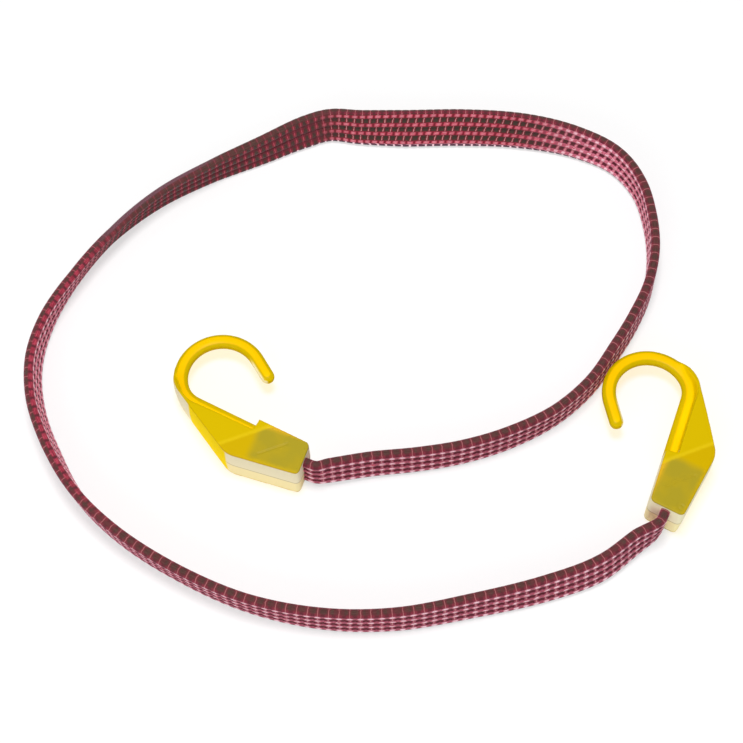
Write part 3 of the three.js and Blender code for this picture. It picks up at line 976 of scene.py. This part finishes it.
def parted(tree, vector):
    """The three parts of a vector."""
    node = tree.nodes.new("ShaderNodeSeparateXYZ")
    tree.links.new(vector, node.inputs["Vector"])
    return node.outputs["X"], node.outputs["Y"], node.outputs["Z"]


def raise_bumps(tree, shader, height, strength, distance):
    node = tree.nodes.new("ShaderNodeBump")
    node.inputs["Strength"].default_value = strength
    node.inputs["Distance"].default_value = distance
    tree.links.new(height, node.inputs["Height"])
    tree.links.new(node.outputs["Normal"], shader.inputs["Normal"])


def new_material(name, **settings):
    """A material with its Principled shader, whose plain settings are given by name."""
    material = bpy.data.materials.new(name)
    material.use_nodes = True
    shader = material.node_tree.nodes["Principled BSDF"]
    for setting, value in settings.items():
        shader.inputs[setting.replace("_", " ")].default_value = value
    return material, material.node_tree, shader


print("node helpers ready")

# %% [markdown]
# ## A grain that all the finishes share
# No real surface is perfectly even: yarn is uneven, plastic has a faint mottle, steel has a bloom,
# rubber has dust. One node group makes that unevenness from two noises, a broad one and a fine one,
# and every material places it with its own scale.

# %% Build the grain group
NOISES = {"Mottle": (1.0, 2.0), "Grain": (9.0, 4.0)}  # how fine each is, and its detail


def grain_group():
    group = bpy.data.node_groups.new("uneven_grain", "ShaderNodeTree")
    group.interface.new_socket("Place", in_out="INPUT", socket_type="NodeSocketVector")
    group.interface.new_socket("Scale", in_out="INPUT", socket_type="NodeSocketFloat")
    for output in NOISES:
        group.interface.new_socket(output, in_out="OUTPUT", socket_type="NodeSocketFloat")
    start = group.nodes.new("NodeGroupInput")
    end = group.nodes.new("NodeGroupOutput")
    for output, (finer, detail) in NOISES.items():
        noise = group.nodes.new("ShaderNodeTexNoise")
        noise.inputs["Detail"].default_value = detail
        group.links.new(start.outputs["Place"], noise.inputs["Vector"])
        group.links.new(times(group, start.outputs["Scale"], finer), noise.inputs["Scale"])
        group.links.new(noise.outputs["Fac"], end.inputs[output])
    return group


uneven_grain = grain_group()


def add_grain(tree, place, scale):
    node = tree.nodes.new("ShaderNodeGroup")
    node.node_tree = uneven_grain
    tree.links.new(place, node.inputs["Place"])
    node.inputs["Scale"].default_value = scale
    return node.outputs["Mottle"], node.outputs["Grain"]


print("group:", uneven_grain.name)

# %% [markdown]
# ## The sheath's finish
# Pink yarn floats on the ribs over a dark ground. In the valleys olive blocks lie beside the gaps
# between the bricks, with red yarn and a pale tie between them, and the edges show the same ties as
# thin ticks, or as pale dots on the lower edge. Pale streaks on the bricks are painted sheen, and
# so is the paler ground of the loop's inner face. The weave isn't even. Its rows stray a little and
# every brick has its own tone, as lots of yarn have. On the back of the loop, which is seen square
# on, the colours are deeper and the painted sheen weaker, and a dark stretch there is painted
# shade.
# Beyond that the edge gets grey-mauve flecks of painted sheen, and then whole bricks show on the
# edge. A picture of the weave would have to be fitted to the strap. The grid's own weave map
# already
# says where each spot lies: u counts bricks along the strap and v counts ribs across it, so the
# colours fall exactly on the relief.

# %% Choose the sheath's yarns
PINK_YARN = srgb(200, 73, 94)
DEEP_PINK_YARN = srgb(178, 54, 76)
# Pale yarn is painted sheen, the glint of the bricks.
SHEEN_YARN = srgb(255, 214, 226)
RED_YARN = srgb(114, 25, 40)
MAUVE_YARN = srgb(162, 72, 94)
# Rose is the inner face's ground, painted paler than the outer mauve as sheen.
SHEEN_ROSE_YARN = srgb(206, 108, 132)
DARK_RED_YARN = srgb(92, 26, 40)
OLIVE_YARN = srgb(56, 40, 32)
TIE_YARN = srgb(204, 150, 148)
EDGE_OLIVE_YARN = srgb(74, 58, 48)
EDGE_RED_YARN = srgb(100, 36, 44)
EDGE_TICK_YARN = srgb(160, 94, 96)
CORNER_YARN = srgb(124, 36, 54)
DEEP_CORNER_YARN = srgb(126, 28, 48)
# The next two make grey-mauve flecks of painted sheen on an edge.
EDGE_SHEEN_YARN = srgb(132, 84, 96)
EDGE_SHEEN_DARK_YARN = srgb(66, 42, 48)
# The next two colour the stretch of painted shade on the back of the loop.
SHADED_RED_YARN = srgb(120, 34, 46)
SHADED_TICK_YARN = srgb(190, 76, 94)
LOW_EDGE_YARN = srgb(88, 50, 68)
LOW_TICK_YARN = srgb(250, 206, 216)
print("pink yarn in linear light:", [round(part, 3) for part in PINK_YARN[:3]])

# %% Find a spot's place in the weave
WANDER_SCALE = 1.1
UNEVEN_BY = (0.3, 0.16, 0.0)  # how far the yarn strays, in bricks and in ribs
STREAK_STRETCH = (0.9, 7.0, 1.0)  # streaks are long along the strap and narrow across it
STREAK_SCALE = 1.3
VALLEY_SIDE = (0.21, 0.29)  # across: 0 is the top of a rib and 0.5 the valley beside it
TICK_START = (0.43, 0.48)  # along: 0 is the gap between two bricks and 0.5 the middle of one
BROKEN_TICK = (0.3, 0.5)  # of the grain, which breaks the ticks up
SHADED_STRETCH = (0.425, 0.55)  # metres along the strap: there painted shade darkens it
SHADED_BLEND = 2.5  # in bricks, as the other blends


def within(tree, along, limits, blend):
    """1 between two places along the strap, with soft ends."""
    first, last = (bricks_before(limit) for limit in limits)
    rising = soft_step(tree, along, first - blend, first + blend)
    return times(tree, rising, soft_drop(tree, along, last - blend, last + blend))


def weave_masks(tree):
    """What the sheath's colours depend on, by name."""
    weave = tree.nodes.new("ShaderNodeUVMap")
    weave.uv_map = "weave"
    place = weave.outputs["UV"]
    wander = tree.nodes.new("ShaderNodeTexNoise")
    wander.inputs["Scale"].default_value = WANDER_SCALE
    tree.links.new(place, wander.inputs["Vector"])
    strayed = sum_vectors(tree, "SUBTRACT", wander.outputs["Color"], (0.5, 0.5, 0.5))
    along, across, _ = parted(tree, sum_vectors(tree, "MULTIPLY_ADD", strayed, UNEVEN_BY, place))
    lot = tree.nodes.new("ShaderNodeTexWhiteNoise")
    lot.noise_dimensions = "2D"
    tree.links.new(sum_vectors(tree, "FLOOR", place), lot.inputs["Vector"])
    stretched = tree.nodes.new("ShaderNodeMapping")
    stretched.inputs["Scale"].default_value = STREAK_STRETCH
    tree.links.new(place, stretched.inputs["Vector"])
    streak, fibre = add_grain(tree, stretched.outputs["Vector"], STREAK_SCALE)

    in_brick = sum_up(tree, "PINGPONG", along, 0.5)
    in_rib = sum_up(tree, "SUBTRACT", sum_up(tree, "FRACT", across), 0.5)
    from_rib = sum_up(tree, "ABSOLUTE", in_rib)
    unbroken = soft_step(tree, fibre, *BROKEN_TICK)
    return SimpleNamespace(
        along=along, across=across, from_middle=sum_up(tree, "ABSOLUTE", across),
        in_brick=in_brick, from_rib=from_rib, valley=soft_step(tree, from_rib, *VALLEY_SIDE),
        tick=times(tree, soft_step(tree, in_brick, *TICK_START), unbroken),
        lot=lot.outputs["Value"], streak=streak, fibre=fibre,
        facing_left=carried(tree, "facing_left"),
        painted_shade=within(tree, along, SHADED_STRETCH, SHADED_BLEND),
    )


print(f"weave: {bricks_before(strap_length):.0f} bricks along the strap")

# %% Colour the ribs and the valleys
# On the back of the loop the face is seen square on: deeper colours, weaker painted sheen.
SHEENLESS_STRETCH = (0.31, 0.57)  # metres along the strap: less painted sheen there
SHEENLESS_BLEND = 7.0
THREADS_PER_RIB = 7.0
THREAD_LINE = (0.02, 0.2)
THREAD_DARKNESS = 0.6
RIB_SIDE = (0.11, 0.2)
BRICK_END = (0.1, 0.19)
BLOCK_END = (0.26, 0.38)
BAND_END = (0.18, 0.3)
# Pale streaks on bricks are painted sheen, stronger on the outer ribs, weaker on the back.
SHEEN_PART = (0.12, 0.4)
SHEEN_STREAK = (0.36, 0.54)
OUTER_RIB = (1.1, 1.3)  # in ribs from the strap's middle
OUTER_SHEEN = 0.17
BACK_SHEEN = 0.2
INNER_FACE = (0.2, 0.9)
# In the stretch of painted shade: its share of olive, and how dark its valleys are.
SHADED_OLIVE = 0.6
SHADED_VALLEY = 0.6


def brick_yarn(tree, weave, plain, sheenless):
    """The yarn of a brick: pale streaks of painted sheen, with dark lines between its threads."""
    outer = soft_step(tree, weave.from_middle, *OUTER_RIB, 0.0, OUTER_SHEEN)
    streaked = soft_step(tree, sum_up(tree, "ADD", weave.streak, outer), *SHEEN_STREAK)
    painted_sheen = times(tree, soft_step(tree, weave.in_brick, *SHEEN_PART), streaked)
    painted_sheen = times(tree, painted_sheen, soft_step(tree, sheenless, 0.0, 1.0, 1.0, BACK_SHEEN))
    thread = sum_up(tree, "PINGPONG", times(tree, weave.across, THREADS_PER_RIB), 0.5)
    thread_line = soft_step(tree, thread, *THREAD_LINE, THREAD_DARKNESS, 0.0)
    return mix_colours(tree, thread_line, mix_colours(tree, painted_sheen, plain, SHEEN_YARN), RED_YARN)


def ground_yarn(tree, weave, sheenless):
    """The yarn below the bricks: dark blocks in the valleys, and a pale tie between them."""
    # The loop's inner face gets a paler ground, painted sheen where it is seen at a slant.
    inner_face = soft_step(tree, weave.facing_left, *INNER_FACE)
    between = mix_colours(tree, inner_face, MAUVE_YARN, SHEEN_ROSE_YARN)
    # On the back the ground is deeper: the face seen square on, without painted sheen.
    between = mix_colours(tree, sheenless, between, RED_YARN)
    sunk = mix_colours(tree, sheenless, DARK_RED_YARN, OLIVE_YARN)
    block = soft_drop(tree, weave.in_brick, *BLOCK_END)
    ground = mix_colours(tree, times(tree, block, weave.valley), between, sunk)
    return mix_colours(tree, times(tree, weave.tick, weave.valley), ground, TIE_YARN)


def face_colour(tree, weave, plain, dark):
    """The colours of a face, with the dark stretch of painted shade among them."""
    sheenless = within(tree, weave.along, SHEENLESS_STRETCH, SHEENLESS_BLEND)
    rib = soft_drop(tree, weave.from_rib, *RIB_SIDE)
    brick = times(tree, rib, soft_step(tree, weave.in_brick, *BRICK_END))
    yarn = brick_yarn(tree, weave, plain, sheenless)
    face = mix_colours(tree, brick, ground_yarn(tree, weave, sheenless), yarn)
    # The dark stretch is painted shade on a face turned from the light.
    deep = mix_colours(tree, SHADED_OLIVE, dark, OLIVE_YARN)
    shaded = mix_colours(tree, soft_drop(tree, weave.in_brick, *BAND_END), SHADED_RED_YARN, deep)
    shaded = mix_colours(tree, weave.tick, shaded, SHADED_TICK_YARN)
    shaded = mix_colours(tree, times(tree, weave.valley, SHADED_VALLEY), shaded, DARK_RED_YARN)
    return mix_colours(tree, weave.painted_shade, face, shaded)


print(f"deep colours on {SHEENLESS_STRETCH[1] - SHEENLESS_STRETCH[0]:.2f} m of the strap")

# %% Colour the edges
ROSY_STRETCH = (0.55, 0.695)  # metres along the strap: there bricks reach round the corner
ROSY_BLEND = 6.0
ROSY_STREAK = (0.38, 0.62)
ROSY_SHARE = (0.05, 0.75)
ROSY_BRICK = (0.04, 0.26)
ROUND_CORNER = (-0.1, 0.3)
EDGE_SHEEN_STRETCH = (0.487, 0.55)  # metres along the strap: painted sheen flecks the edge there
EDGE_SHEEN_BLEND = 3.0
EDGE_SHEEN_FIBRE = (0.4, 0.6)
OUTER_HALF = (-0.1, 0.2)
OLIVE_STREAK = (0.4, 0.6)
RED_FIBRE = (0.46, 0.64)
RED_LOT = (0.4, 1.0)
RED_LOT_SHARE = 0.5
CORNER_BRICK = (0.1, 0.3)
CORNER_SIDE = (0.3, 0.85)
EDGE_BLOCK = (0.22, 0.44)
SHADED_TICKS = 0.3
LOW_DOT = (0.34, 0.42)


def dark_yarn(tree, weave):
    """Olive yarn, uneven and reddish in places."""
    streaked = soft_step(tree, weave.streak, *OLIVE_STREAK)
    dark = mix_colours(tree, streaked, EDGE_OLIVE_YARN, OLIVE_YARN)
    dark = mix_colours(tree, soft_step(tree, weave.fibre, *RED_FIBRE), dark, EDGE_RED_YARN)
    red_lot = soft_step(tree, weave.lot, *RED_LOT, 0.0, RED_LOT_SHARE)
    return mix_colours(tree, red_lot, dark, EDGE_RED_YARN)


def edge_colour(tree, weave, plain, dark):
    """An edge: dark in its middle and dark red towards both faces, with thin ticks all over."""
    in_brick = weave.in_brick
    corner = mix_colours(tree, soft_step(tree, in_brick, *CORNER_BRICK), DARK_RED_YARN, CORNER_YARN)
    # In the stretch of painted shade the corners darken and the ticks fade.
    corner = mix_colours(tree, weave.painted_shade, corner, dark)
    sideways = sum_up(tree, "ABSOLUTE", weave.facing_left)
    edge = mix_colours(tree, soft_drop(tree, in_brick, *EDGE_BLOCK), EDGE_RED_YARN, dark)
    edge = mix_colours(tree, soft_step(tree, sideways, *CORNER_SIDE), edge, corner)
    ticks = times(tree, weave.tick, soft_step(tree, weave.painted_shade, 0.0, 1.0, 1.0, SHADED_TICKS))
    edge = mix_colours(tree, ticks, edge, EDGE_TICK_YARN)

    streaked = soft_step(tree, weave.streak, *ROSY_STREAK, *ROSY_SHARE)
    rosy = mix_colours(tree, streaked, DEEP_CORNER_YARN, plain)
    rosy = mix_colours(tree, soft_step(tree, in_brick, *ROSY_BRICK), DARK_RED_YARN, rosy)
    rosy_part = within(tree, weave.along, ROSY_STRETCH, ROSY_BLEND)
    rosy_part = times(tree, rosy_part, soft_step(tree, weave.facing_left, *ROUND_CORNER))
    edge = mix_colours(tree, rosy_part, edge, rosy)

    # Grey-mauve flecks of painted sheen on the outer half of the edge.
    edge_sheen = mix_colours(tree, soft_step(tree, weave.fibre, *EDGE_SHEEN_FIBRE), EDGE_SHEEN_DARK_YARN, EDGE_SHEEN_YARN)
    edge_sheen_part = within(tree, weave.along, EDGE_SHEEN_STRETCH, EDGE_SHEEN_BLEND)
    edge_sheen_part = times(tree, edge_sheen_part, soft_drop(tree, weave.facing_left, *OUTER_HALF))
    return mix_colours(tree, edge_sheen_part, edge, edge_sheen)


def dotted_colour(tree, weave):
    """The lower edge, whose ties show as pale dots."""
    dot = soft_step(tree, weave.in_brick, *LOW_DOT)
    return mix_colours(tree, dot, LOW_EDGE_YARN, LOW_TICK_YARN)


print(f"bricks round the corner on {ROSY_STRETCH[1] - ROSY_STRETCH[0]:.3f} m of the strap")

# %% Put the sheath's material together
EDGE_START = (1.8, 1.86)  # in ribs from the strap's middle
LOWER_START = (-1.7, -1.66)
YARN_ROUGHNESS = (0.65, 0.85)
GRAIN_RANGE = (0.3, 0.7)  # between these lies most of a noise's range


def sheath_material():
    material, tree, shader = new_material(
        "woven_sheath", Sheen_Weight=0.15, Sheen_Roughness=0.4, Specular_IOR_Level=0.25
    )
    weave = weave_masks(tree)
    plain = mix_colours(tree, weave.lot, DEEP_PINK_YARN, PINK_YARN)
    dark = dark_yarn(tree, weave)
    lower = soft_drop(tree, weave.across, *LOWER_START)
    edge = soft_step(tree, weave.from_middle, *EDGE_START)
    edge = sum_up(tree, "MAXIMUM", edge, lower)
    border = edge_colour(tree, weave, plain, dark)
    border = mix_colours(tree, lower, border, dotted_colour(tree, weave))
    colour = mix_colours(tree, edge, face_colour(tree, weave, plain, dark), border)
    roughness = soft_step(tree, weave.fibre, *GRAIN_RANGE, *YARN_ROUGHNESS)
    tree.links.new(colour, shader.inputs["Base Color"])
    tree.links.new(roughness, shader.inputs["Roughness"])
    raise_bumps(tree, shader, weave.fibre, strength=0.5, distance=0.0002)
    return material


woven_sheath = sheath_material()
for piece in sheath.values():
    piece.data.materials.append(woven_sheath)
print("sheath wears", woven_sheath.name)

# %% [markdown]
# ## The rubber's finish
# Natural latex is a dull honey colour with a dusting of talc, which keeps it from sticking in the
# sheath. A plain colour would do for a hidden piece, but the shared grain gives the dust with one
# mix of two colours.

# %% Make the rubber's material
RUBBER = srgb(217, 199, 160)
TALC = srgb(236, 228, 208)
DUST_SCALE = 1.5
DUSTED = (0.4, 0.7)
RUBBER_ROUGHNESS = (0.6, 0.9)


def rubber_material():
    material, tree, shader = new_material("latex_rubber")
    weave = tree.nodes.new("ShaderNodeUVMap")
    weave.uv_map = "weave"
    mottle, grain = add_grain(tree, weave.outputs["UV"], DUST_SCALE)
    dusted = mix_colours(tree, soft_step(tree, mottle, *DUSTED), RUBBER, TALC)
    tree.links.new(dusted, shader.inputs["Base Color"])
    roughness = soft_step(tree, grain, *GRAIN_RANGE, *RUBBER_ROUGHNESS)
    tree.links.new(roughness, shader.inputs["Roughness"])
    raise_bumps(tree, shader, grain, strength=0.2, distance=0.0001)
    return material


latex_rubber = rubber_material()
for row in cores.values():
    for core in row:
        core.data.materials.append(latex_rubber)
print("cores wear", latex_rubber.name)

# %% [markdown]
# ## The hook's finish
# The hooks are translucent yellow plastic. Thick parts look deep yellow, the thin walls of the
# socket let light through and look like cream, and over the cavity the dark clamp inside makes the
# face look olive. True translucency would need many samples, so the colour follows the thickness
# instead: each vertex carries its place in the hook's own axes, in millimetres, and the material
# reads from it what lies below the surface.

# %% Find what lies below the hook's surface
MOTTLE_SCALE = 0.11  # per millimetre, the unit of all lengths in this material
WALL_START = (0.6, 1.2)  # below the face's edge
THIN_START_MM = (22.2, 23.0)  # past the crease: here the web's outer wall becomes thin
THIN_END_MM = (34.0, 40.0)


def face_level(tree, past_crease):
    """How high the hook's faces lie above its middle, by the length past the crease."""
    spots = (crease, shoulder, half_way, run_out)
    pasts = [(spot - crease).dot(crease_across) * MM for spot in spots]
    thicknesses = (hook_height, SHOULDER_THICKNESS, RUN_OUT_THICKNESS, RUN_OUT_END)
    level = hook_height / 2 * MM
    profile = list(zip(pasts, thicknesses))
    for (start, high), (end, low) in zip(profile, profile[1:]):
        slope = (high - low) / 2 * MM / (end - start)
        drop = times(tree, sum_up(tree, "SUBTRACT", past_crease, start), slope)
        level = sum_up(tree, "MINIMUM", level, sum_up(tree, "SUBTRACT", high / 2 * MM, drop))
    return level


def hook_masks(tree):
    """What the plastic's colours depend on, by name."""
    place = carried(tree, "hook_place", "Vector")
    x, y, z = parted(tree, place)
    level = sum_up(tree, "ABSOLUTE", z)
    mottle, grain = add_grain(tree, place, MOTTLE_SCALE)
    from_crease = times(tree, sum_up(tree, "SUBTRACT", x, crease.x * MM), crease_across.x)
    past_crease = sum_up(tree, "ADD", from_crease, times(tree, y, crease_across.y))
    below_face = sum_up(tree, "SUBTRACT", face_level(tree, past_crease), level)
    thin = soft_step(tree, past_crease, *THIN_START_MM)
    thin = times(tree, thin, soft_drop(tree, past_crease, *THIN_END_MM))
    return SimpleNamespace(
        x=x, y=y, level=level, mottle=mottle, grain=grain, past_crease=past_crease, thin=thin,
        wall_share=soft_step(tree, below_face, *WALL_START), on_bar=carried(tree, "on_bar"),
        bar_edge=carried(tree, "bar_edge"), outer_wall=carried(tree, "outer_wall"),
    )


print(f"crease {crease.x * MM:.1f} mm from the mouth")

# %% Colour the bar, the web and the socket
BAR_YELLOW = srgb(250, 192, 0)
# Painted shade: the bar's rounded sides are darker than its middle.
BAR_SIDE_SHADE = srgb(196, 168, 0)
SHANK_YELLOW = srgb(255, 206, 0)
WEB_FACE = srgb(206, 175, 0)
# Painted light: the web's walls are brighter than its faces, against the shade they get.
LIT_WEB_WALL = srgb(255, 226, 0)
LIT_INNER_WALL = srgb(236, 202, 0)
SOCKET_FACE = srgb(200, 166, 0)
OVER_CAVITY = srgb(166, 148, 36)
WARM_RIM = srgb(222, 172, 34)
THIN_WALL = srgb(240, 234, 198)
LOW_WALL = srgb(248, 236, 180)  # the wall's lower half, which the table lights
PARTING_LINE = srgb(206, 194, 146)
SHANK_END_MM = (20.0, 34.0)  # past the crease: between these the bright line widens into the curl
SHANK_NARROWING = 0.1
BAR_SIDE = (0.3, 0.66)  # in half widths from the bar's middle
CAVITY_END_MM = (21.0, 25.5)  # from the mouth
CAVITY_MIDDLE_MM = 0.6
CAVITY_SIDE_MM = (6.0, 9.5)  # from its middle
CAVITY_MOTTLE = (0.3, 0.55)
CAVITY_DEPTH = (0.8, 1.0)
RIM_MM = (4.0, 9.0)
PARTING_MM = (0.2, 0.5)
LOW_HALF = (0.48, 0.52)  # of the hook's height


def bar_colour(tree, hook):
    """The bar: a bright middle line, narrower on the shank, and sides in painted shade."""
    shank = soft_drop(tree, hook.past_crease, *SHANK_END_MM)
    bright = mix_colours(tree, shank, BAR_YELLOW, SHANK_YELLOW)
    side = mix_colours(tree, shank, BAR_SIDE_SHADE, WEB_FACE)
    sidedness = sum_up(tree, "ADD", hook.bar_edge, times(tree, shank, SHANK_NARROWING))
    return mix_colours(tree, soft_step(tree, sidedness, *BAR_SIDE), bright, side)


def web_colour(tree, hook):
    """The web: deep yellow faces and brighter walls, the outer one pale where it is thin."""
    # The walls are painted brighter than the faces: painted light.
    wall = mix_colours(tree, hook.thin, LIT_WEB_WALL, THIN_WALL)
    wall = mix_colours(tree, hook.outer_wall, LIT_INNER_WALL, wall)
    return mix_colours(tree, hook.wall_share, WEB_FACE, wall)


def socket_colour(tree, hook):
    """The socket: faces that are olive over the cavity, and cream walls with a parting line."""
    aside = sum_up(tree, "ABSOLUTE", sum_up(tree, "SUBTRACT", hook.y, CAVITY_MIDDLE_MM))
    over_x = soft_drop(tree, hook.x, *CAVITY_END_MM)
    over_y = soft_drop(tree, aside, *CAVITY_SIDE_MM)
    mottled = soft_step(tree, hook.mottle, *CAVITY_MOTTLE, *CAVITY_DEPTH)
    face = mix_colours(tree, soft_step(tree, hook.y, *RIM_MM), SOCKET_FACE, WARM_RIM)
    face = mix_colours(tree, times(tree, over_x, over_y, mottled), face, OVER_CAVITY)
    height = parted(tree, tree.nodes.new("ShaderNodeTexCoord").outputs["Object"])[2]
    high = soft_step(tree, height, *(hook_height * share for share in LOW_HALF))
    wall = mix_colours(tree, high, LOW_WALL, THIN_WALL)
    wall = mix_colours(tree, soft_drop(tree, hook.level, *PARTING_MM), wall, PARTING_LINE)
    return mix_colours(tree, hook.wall_share, face, wall)


print("bar yellow in linear light:", [round(part, 3) for part in BAR_YELLOW[:3]])

# %% Put the plastic's material together
CREASE_GLEAM = srgb(222, 192, 20)
GLEAM_MM = (0.1, 1.4)
GLEAM = 0.6
FACE_END_MM = (-1.5, 1.5)  # past the crease: there the socket's faces end
# The thin walls end at a line from the socket's step to its outer corner.
WALL_LINE_SLANT = 0.417
WALL_LINE_MM = (29.4, 31.0)
PLASTIC_GLOSS = 0.06
PLASTIC_ROUGHNESS = (0.3, 0.42)
SHADOW_TINT = srgb(242, 228, 0)


def plastic_material():
    material, tree, shader = new_material(
        "yellow_plastic", IOR=1.49, Specular_IOR_Level=0.0,
        Coat_Weight=PLASTIC_GLOSS, Coat_Roughness=0.3,
    )
    hook = hook_masks(tree)
    wall_x = sum_up(tree, "ADD", hook.x, times(tree, hook.y, WALL_LINE_SLANT))
    wall_end = soft_step(tree, wall_x, *WALL_LINE_MM)
    face_end = soft_step(tree, hook.past_crease, *FACE_END_MM)
    web_share = mix_values(tree, hook.wall_share, face_end, wall_end)
    body = mix_colours(tree, web_share, socket_colour(tree, hook), web_colour(tree, hook))
    beside_crease = sum_up(tree, "ABSOLUTE", hook.past_crease)
    gleam = soft_step(tree, beside_crease, *GLEAM_MM, GLEAM, 0.0)
    gleam = times(tree, gleam, sum_up(tree, "SUBTRACT", 1.0, hook.wall_share))
    body = mix_colours(tree, gleam, body, CREASE_GLEAM)
    thin_wall = times(tree, hook.thin, hook.outer_wall)
    bar_share = times(tree, hook.on_bar, sum_up(tree, "SUBTRACT", 1.0, thin_wall))
    colour = mix_colours(tree, bar_share, body, bar_colour(tree, hook))
    roughness = soft_step(tree, hook.mottle, *GRAIN_RANGE, *PLASTIC_ROUGHNESS)
    tree.links.new(colour, shader.inputs["Base Color"])
    tree.links.new(roughness, shader.inputs["Roughness"])
    raise_bumps(tree, shader, hook.grain, strength=0.06, distance=0.0002)
    let_light_through(tree, shader)
    return material


def let_light_through(tree, shader):
    """Lamps shine on through the plastic, so that its shadow on the table is a pale yellow."""
    rays = tree.nodes.new("ShaderNodeLightPath")
    clear = tree.nodes.new("ShaderNodeBsdfTransparent")
    clear.inputs["Color"].default_value = SHADOW_TINT
    mix = tree.nodes.new("ShaderNodeMixShader")
    output = next(node for node in tree.nodes if node.type == "OUTPUT_MATERIAL")
    tree.links.new(rays.outputs["Is Shadow Ray"], mix.inputs[0])
    tree.links.new(shader.outputs["BSDF"], mix.inputs[1])
    tree.links.new(clear.outputs["BSDF"], mix.inputs[2])
    tree.links.new(mix.outputs["Shader"], output.inputs["Surface"])


yellow_plastic = plastic_material()
for piece in hook_pieces.values():
    piece.data.materials.append(yellow_plastic)
print("hooks wear", yellow_plastic.name)

# %% [markdown]
# ## The clamps' finish
# The clamps are bent from zinc plated sheet. They stay as the frame has them, since their shape is
# right, and only get a better material: a dull metal with a cloudy bloom.

# %% Make the steel's material
ZINC = srgb(176, 180, 186)
ZINC_BLOOM = srgb(150, 154, 158)
BLOOM_SCALE = 400.0
ZINC_ROUGHNESS = (0.35, 0.55)


def steel_material():
    material, tree, shader = new_material("clamp_steel", Metallic=1.0)
    coordinates = tree.nodes.new("ShaderNodeTexCoord")
    mottle, grain = add_grain(tree, coordinates.outputs["Object"], BLOOM_SCALE)
    tree.links.new(mix_colours(tree, mottle, ZINC, ZINC_BLOOM), shader.inputs["Base Color"])
    roughness = soft_step(tree, grain, *GRAIN_RANGE, *ZINC_ROUGHNESS)
    tree.links.new(roughness, shader.inputs["Roughness"])
    raise_bumps(tree, shader, grain, strength=0.1, distance=0.0001)
    return material


clamp_steel = steel_material()
for side in HOOKS:
    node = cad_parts[f"{side}_end_clamp"]
    node.data.materials.clear()
    node.data.materials.append(clamp_steel)
print("clamps wear", clamp_steel.name)

# %% [markdown]
# ## The table and the light
# The photograph has a white table that fades into a white background, with only a faint soft
# shadow. A plain white floor would turn grey in the render, so the camera sees it partly as a
# steady white, and the rest of it takes the shadows. Far from the cord it is steady white
# altogether, so that it has no visible end. Two soft lamps and an even sky light the object at a
# plain level.

# %% Lay the floor
FLOOR_SIZE = 6.0
TABLE_WHITE = (0.95, 0.95, 0.95, 1.0)
STEADY_WHITE = 0.55
SHADOW_REACH = (0.45, 1.3)  # from the middle: between these the table's shadows fade out

bm = bmesh.new()
bmesh.ops.create_grid(bm, x_segments=1, y_segments=1, size=FLOOR_SIZE / 2)
floor = finish_mesh("table", bm)
floor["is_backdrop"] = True


def rays_that_look(tree):
    """1 for rays that see a surface: from the camera, reflected or through something clear."""
    rays = tree.nodes.new("ShaderNodeLightPath")
    seen = sum_up(tree, "MAXIMUM", rays.outputs["Is Camera Ray"], rays.outputs["Is Glossy Ray"])
    return sum_up(tree, "MAXIMUM", seen, rays.outputs["Is Transmission Ray"])


table_white = bpy.data.materials.new("table_white")
table_white.use_nodes = True
tree = table_white.node_tree
tree.nodes.clear()
matt = tree.nodes.new("ShaderNodeBsdfDiffuse")
matt.inputs["Color"].default_value = TABLE_WHITE
steady = tree.nodes.new("ShaderNodeEmission")
both = tree.nodes.new("ShaderNodeMixShader")
spot = tree.nodes.new("ShaderNodeTexCoord").outputs["Object"]
from_centre = sum_node(tree, "ShaderNodeVectorMath", "LENGTH", [spot])
steadiness = soft_step(tree, from_centre.outputs["Value"], *SHADOW_REACH, STEADY_WHITE, 1.0)
feed(tree, both.inputs[0], times(tree, rays_that_look(tree), steadiness))
tree.links.new(matt.outputs["BSDF"], both.inputs[1])
tree.links.new(steady.outputs["Emission"], both.inputs[2])
tree.links.new(both.outputs["Shader"], tree.nodes.new("ShaderNodeOutputMaterial").inputs["Surface"])
floor.data.materials.append(table_white)
print("table:", FLOOR_SIZE, "m across")

# %% Light the scene
SKY_STRENGTH = 0.4
LAMPS = [  # with its place, its size in metres and its power in watts
    ("overhead", (-0.05, 0.05, 1.1), 0.28, 8.2),
    ("front", (-0.4, -0.9, 0.5), 0.7, 3.7),
]

sky = bpy.data.worlds.new("sky")
sky.use_nodes = True
scene.world = sky
tree = sky.node_tree
seen_or_lit = soft_step(tree, rays_that_look(tree), 0.0, 1.0, SKY_STRENGTH, 1.0)
background = next(node for node in tree.nodes if node.type == "BACKGROUND")
background.inputs["Color"].default_value = (1.0, 1.0, 1.0, 1.0)
tree.links.new(seen_or_lit, background.inputs["Strength"])
for name, place, size, power in LAMPS:
    lamp = bpy.data.objects.new(name, bpy.data.lights.new(name, "AREA"))
    lamp.data.size = size
    lamp.data.energy = power
    lamp.location = place
    lamp.rotation_euler = (Vector(place) - VIEW_TARGET).to_track_quat("Z", "Y").to_euler()
    scene.collection.objects.link(lamp)
print("lamps:", ", ".join(name for name, place, size, power in LAMPS))

# %% [markdown]
# ## The sizes of both models
# The box of the dressed model is printed beside the box of the imported one.

# %% Print the sizes
visual_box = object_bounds()
boxes = {"cad": cad_box, "visual": visual_box}
for name, (low, high) in boxes.items():
    print(name, "box:", [round(b - a, 4) for a, b in zip(low, high)])
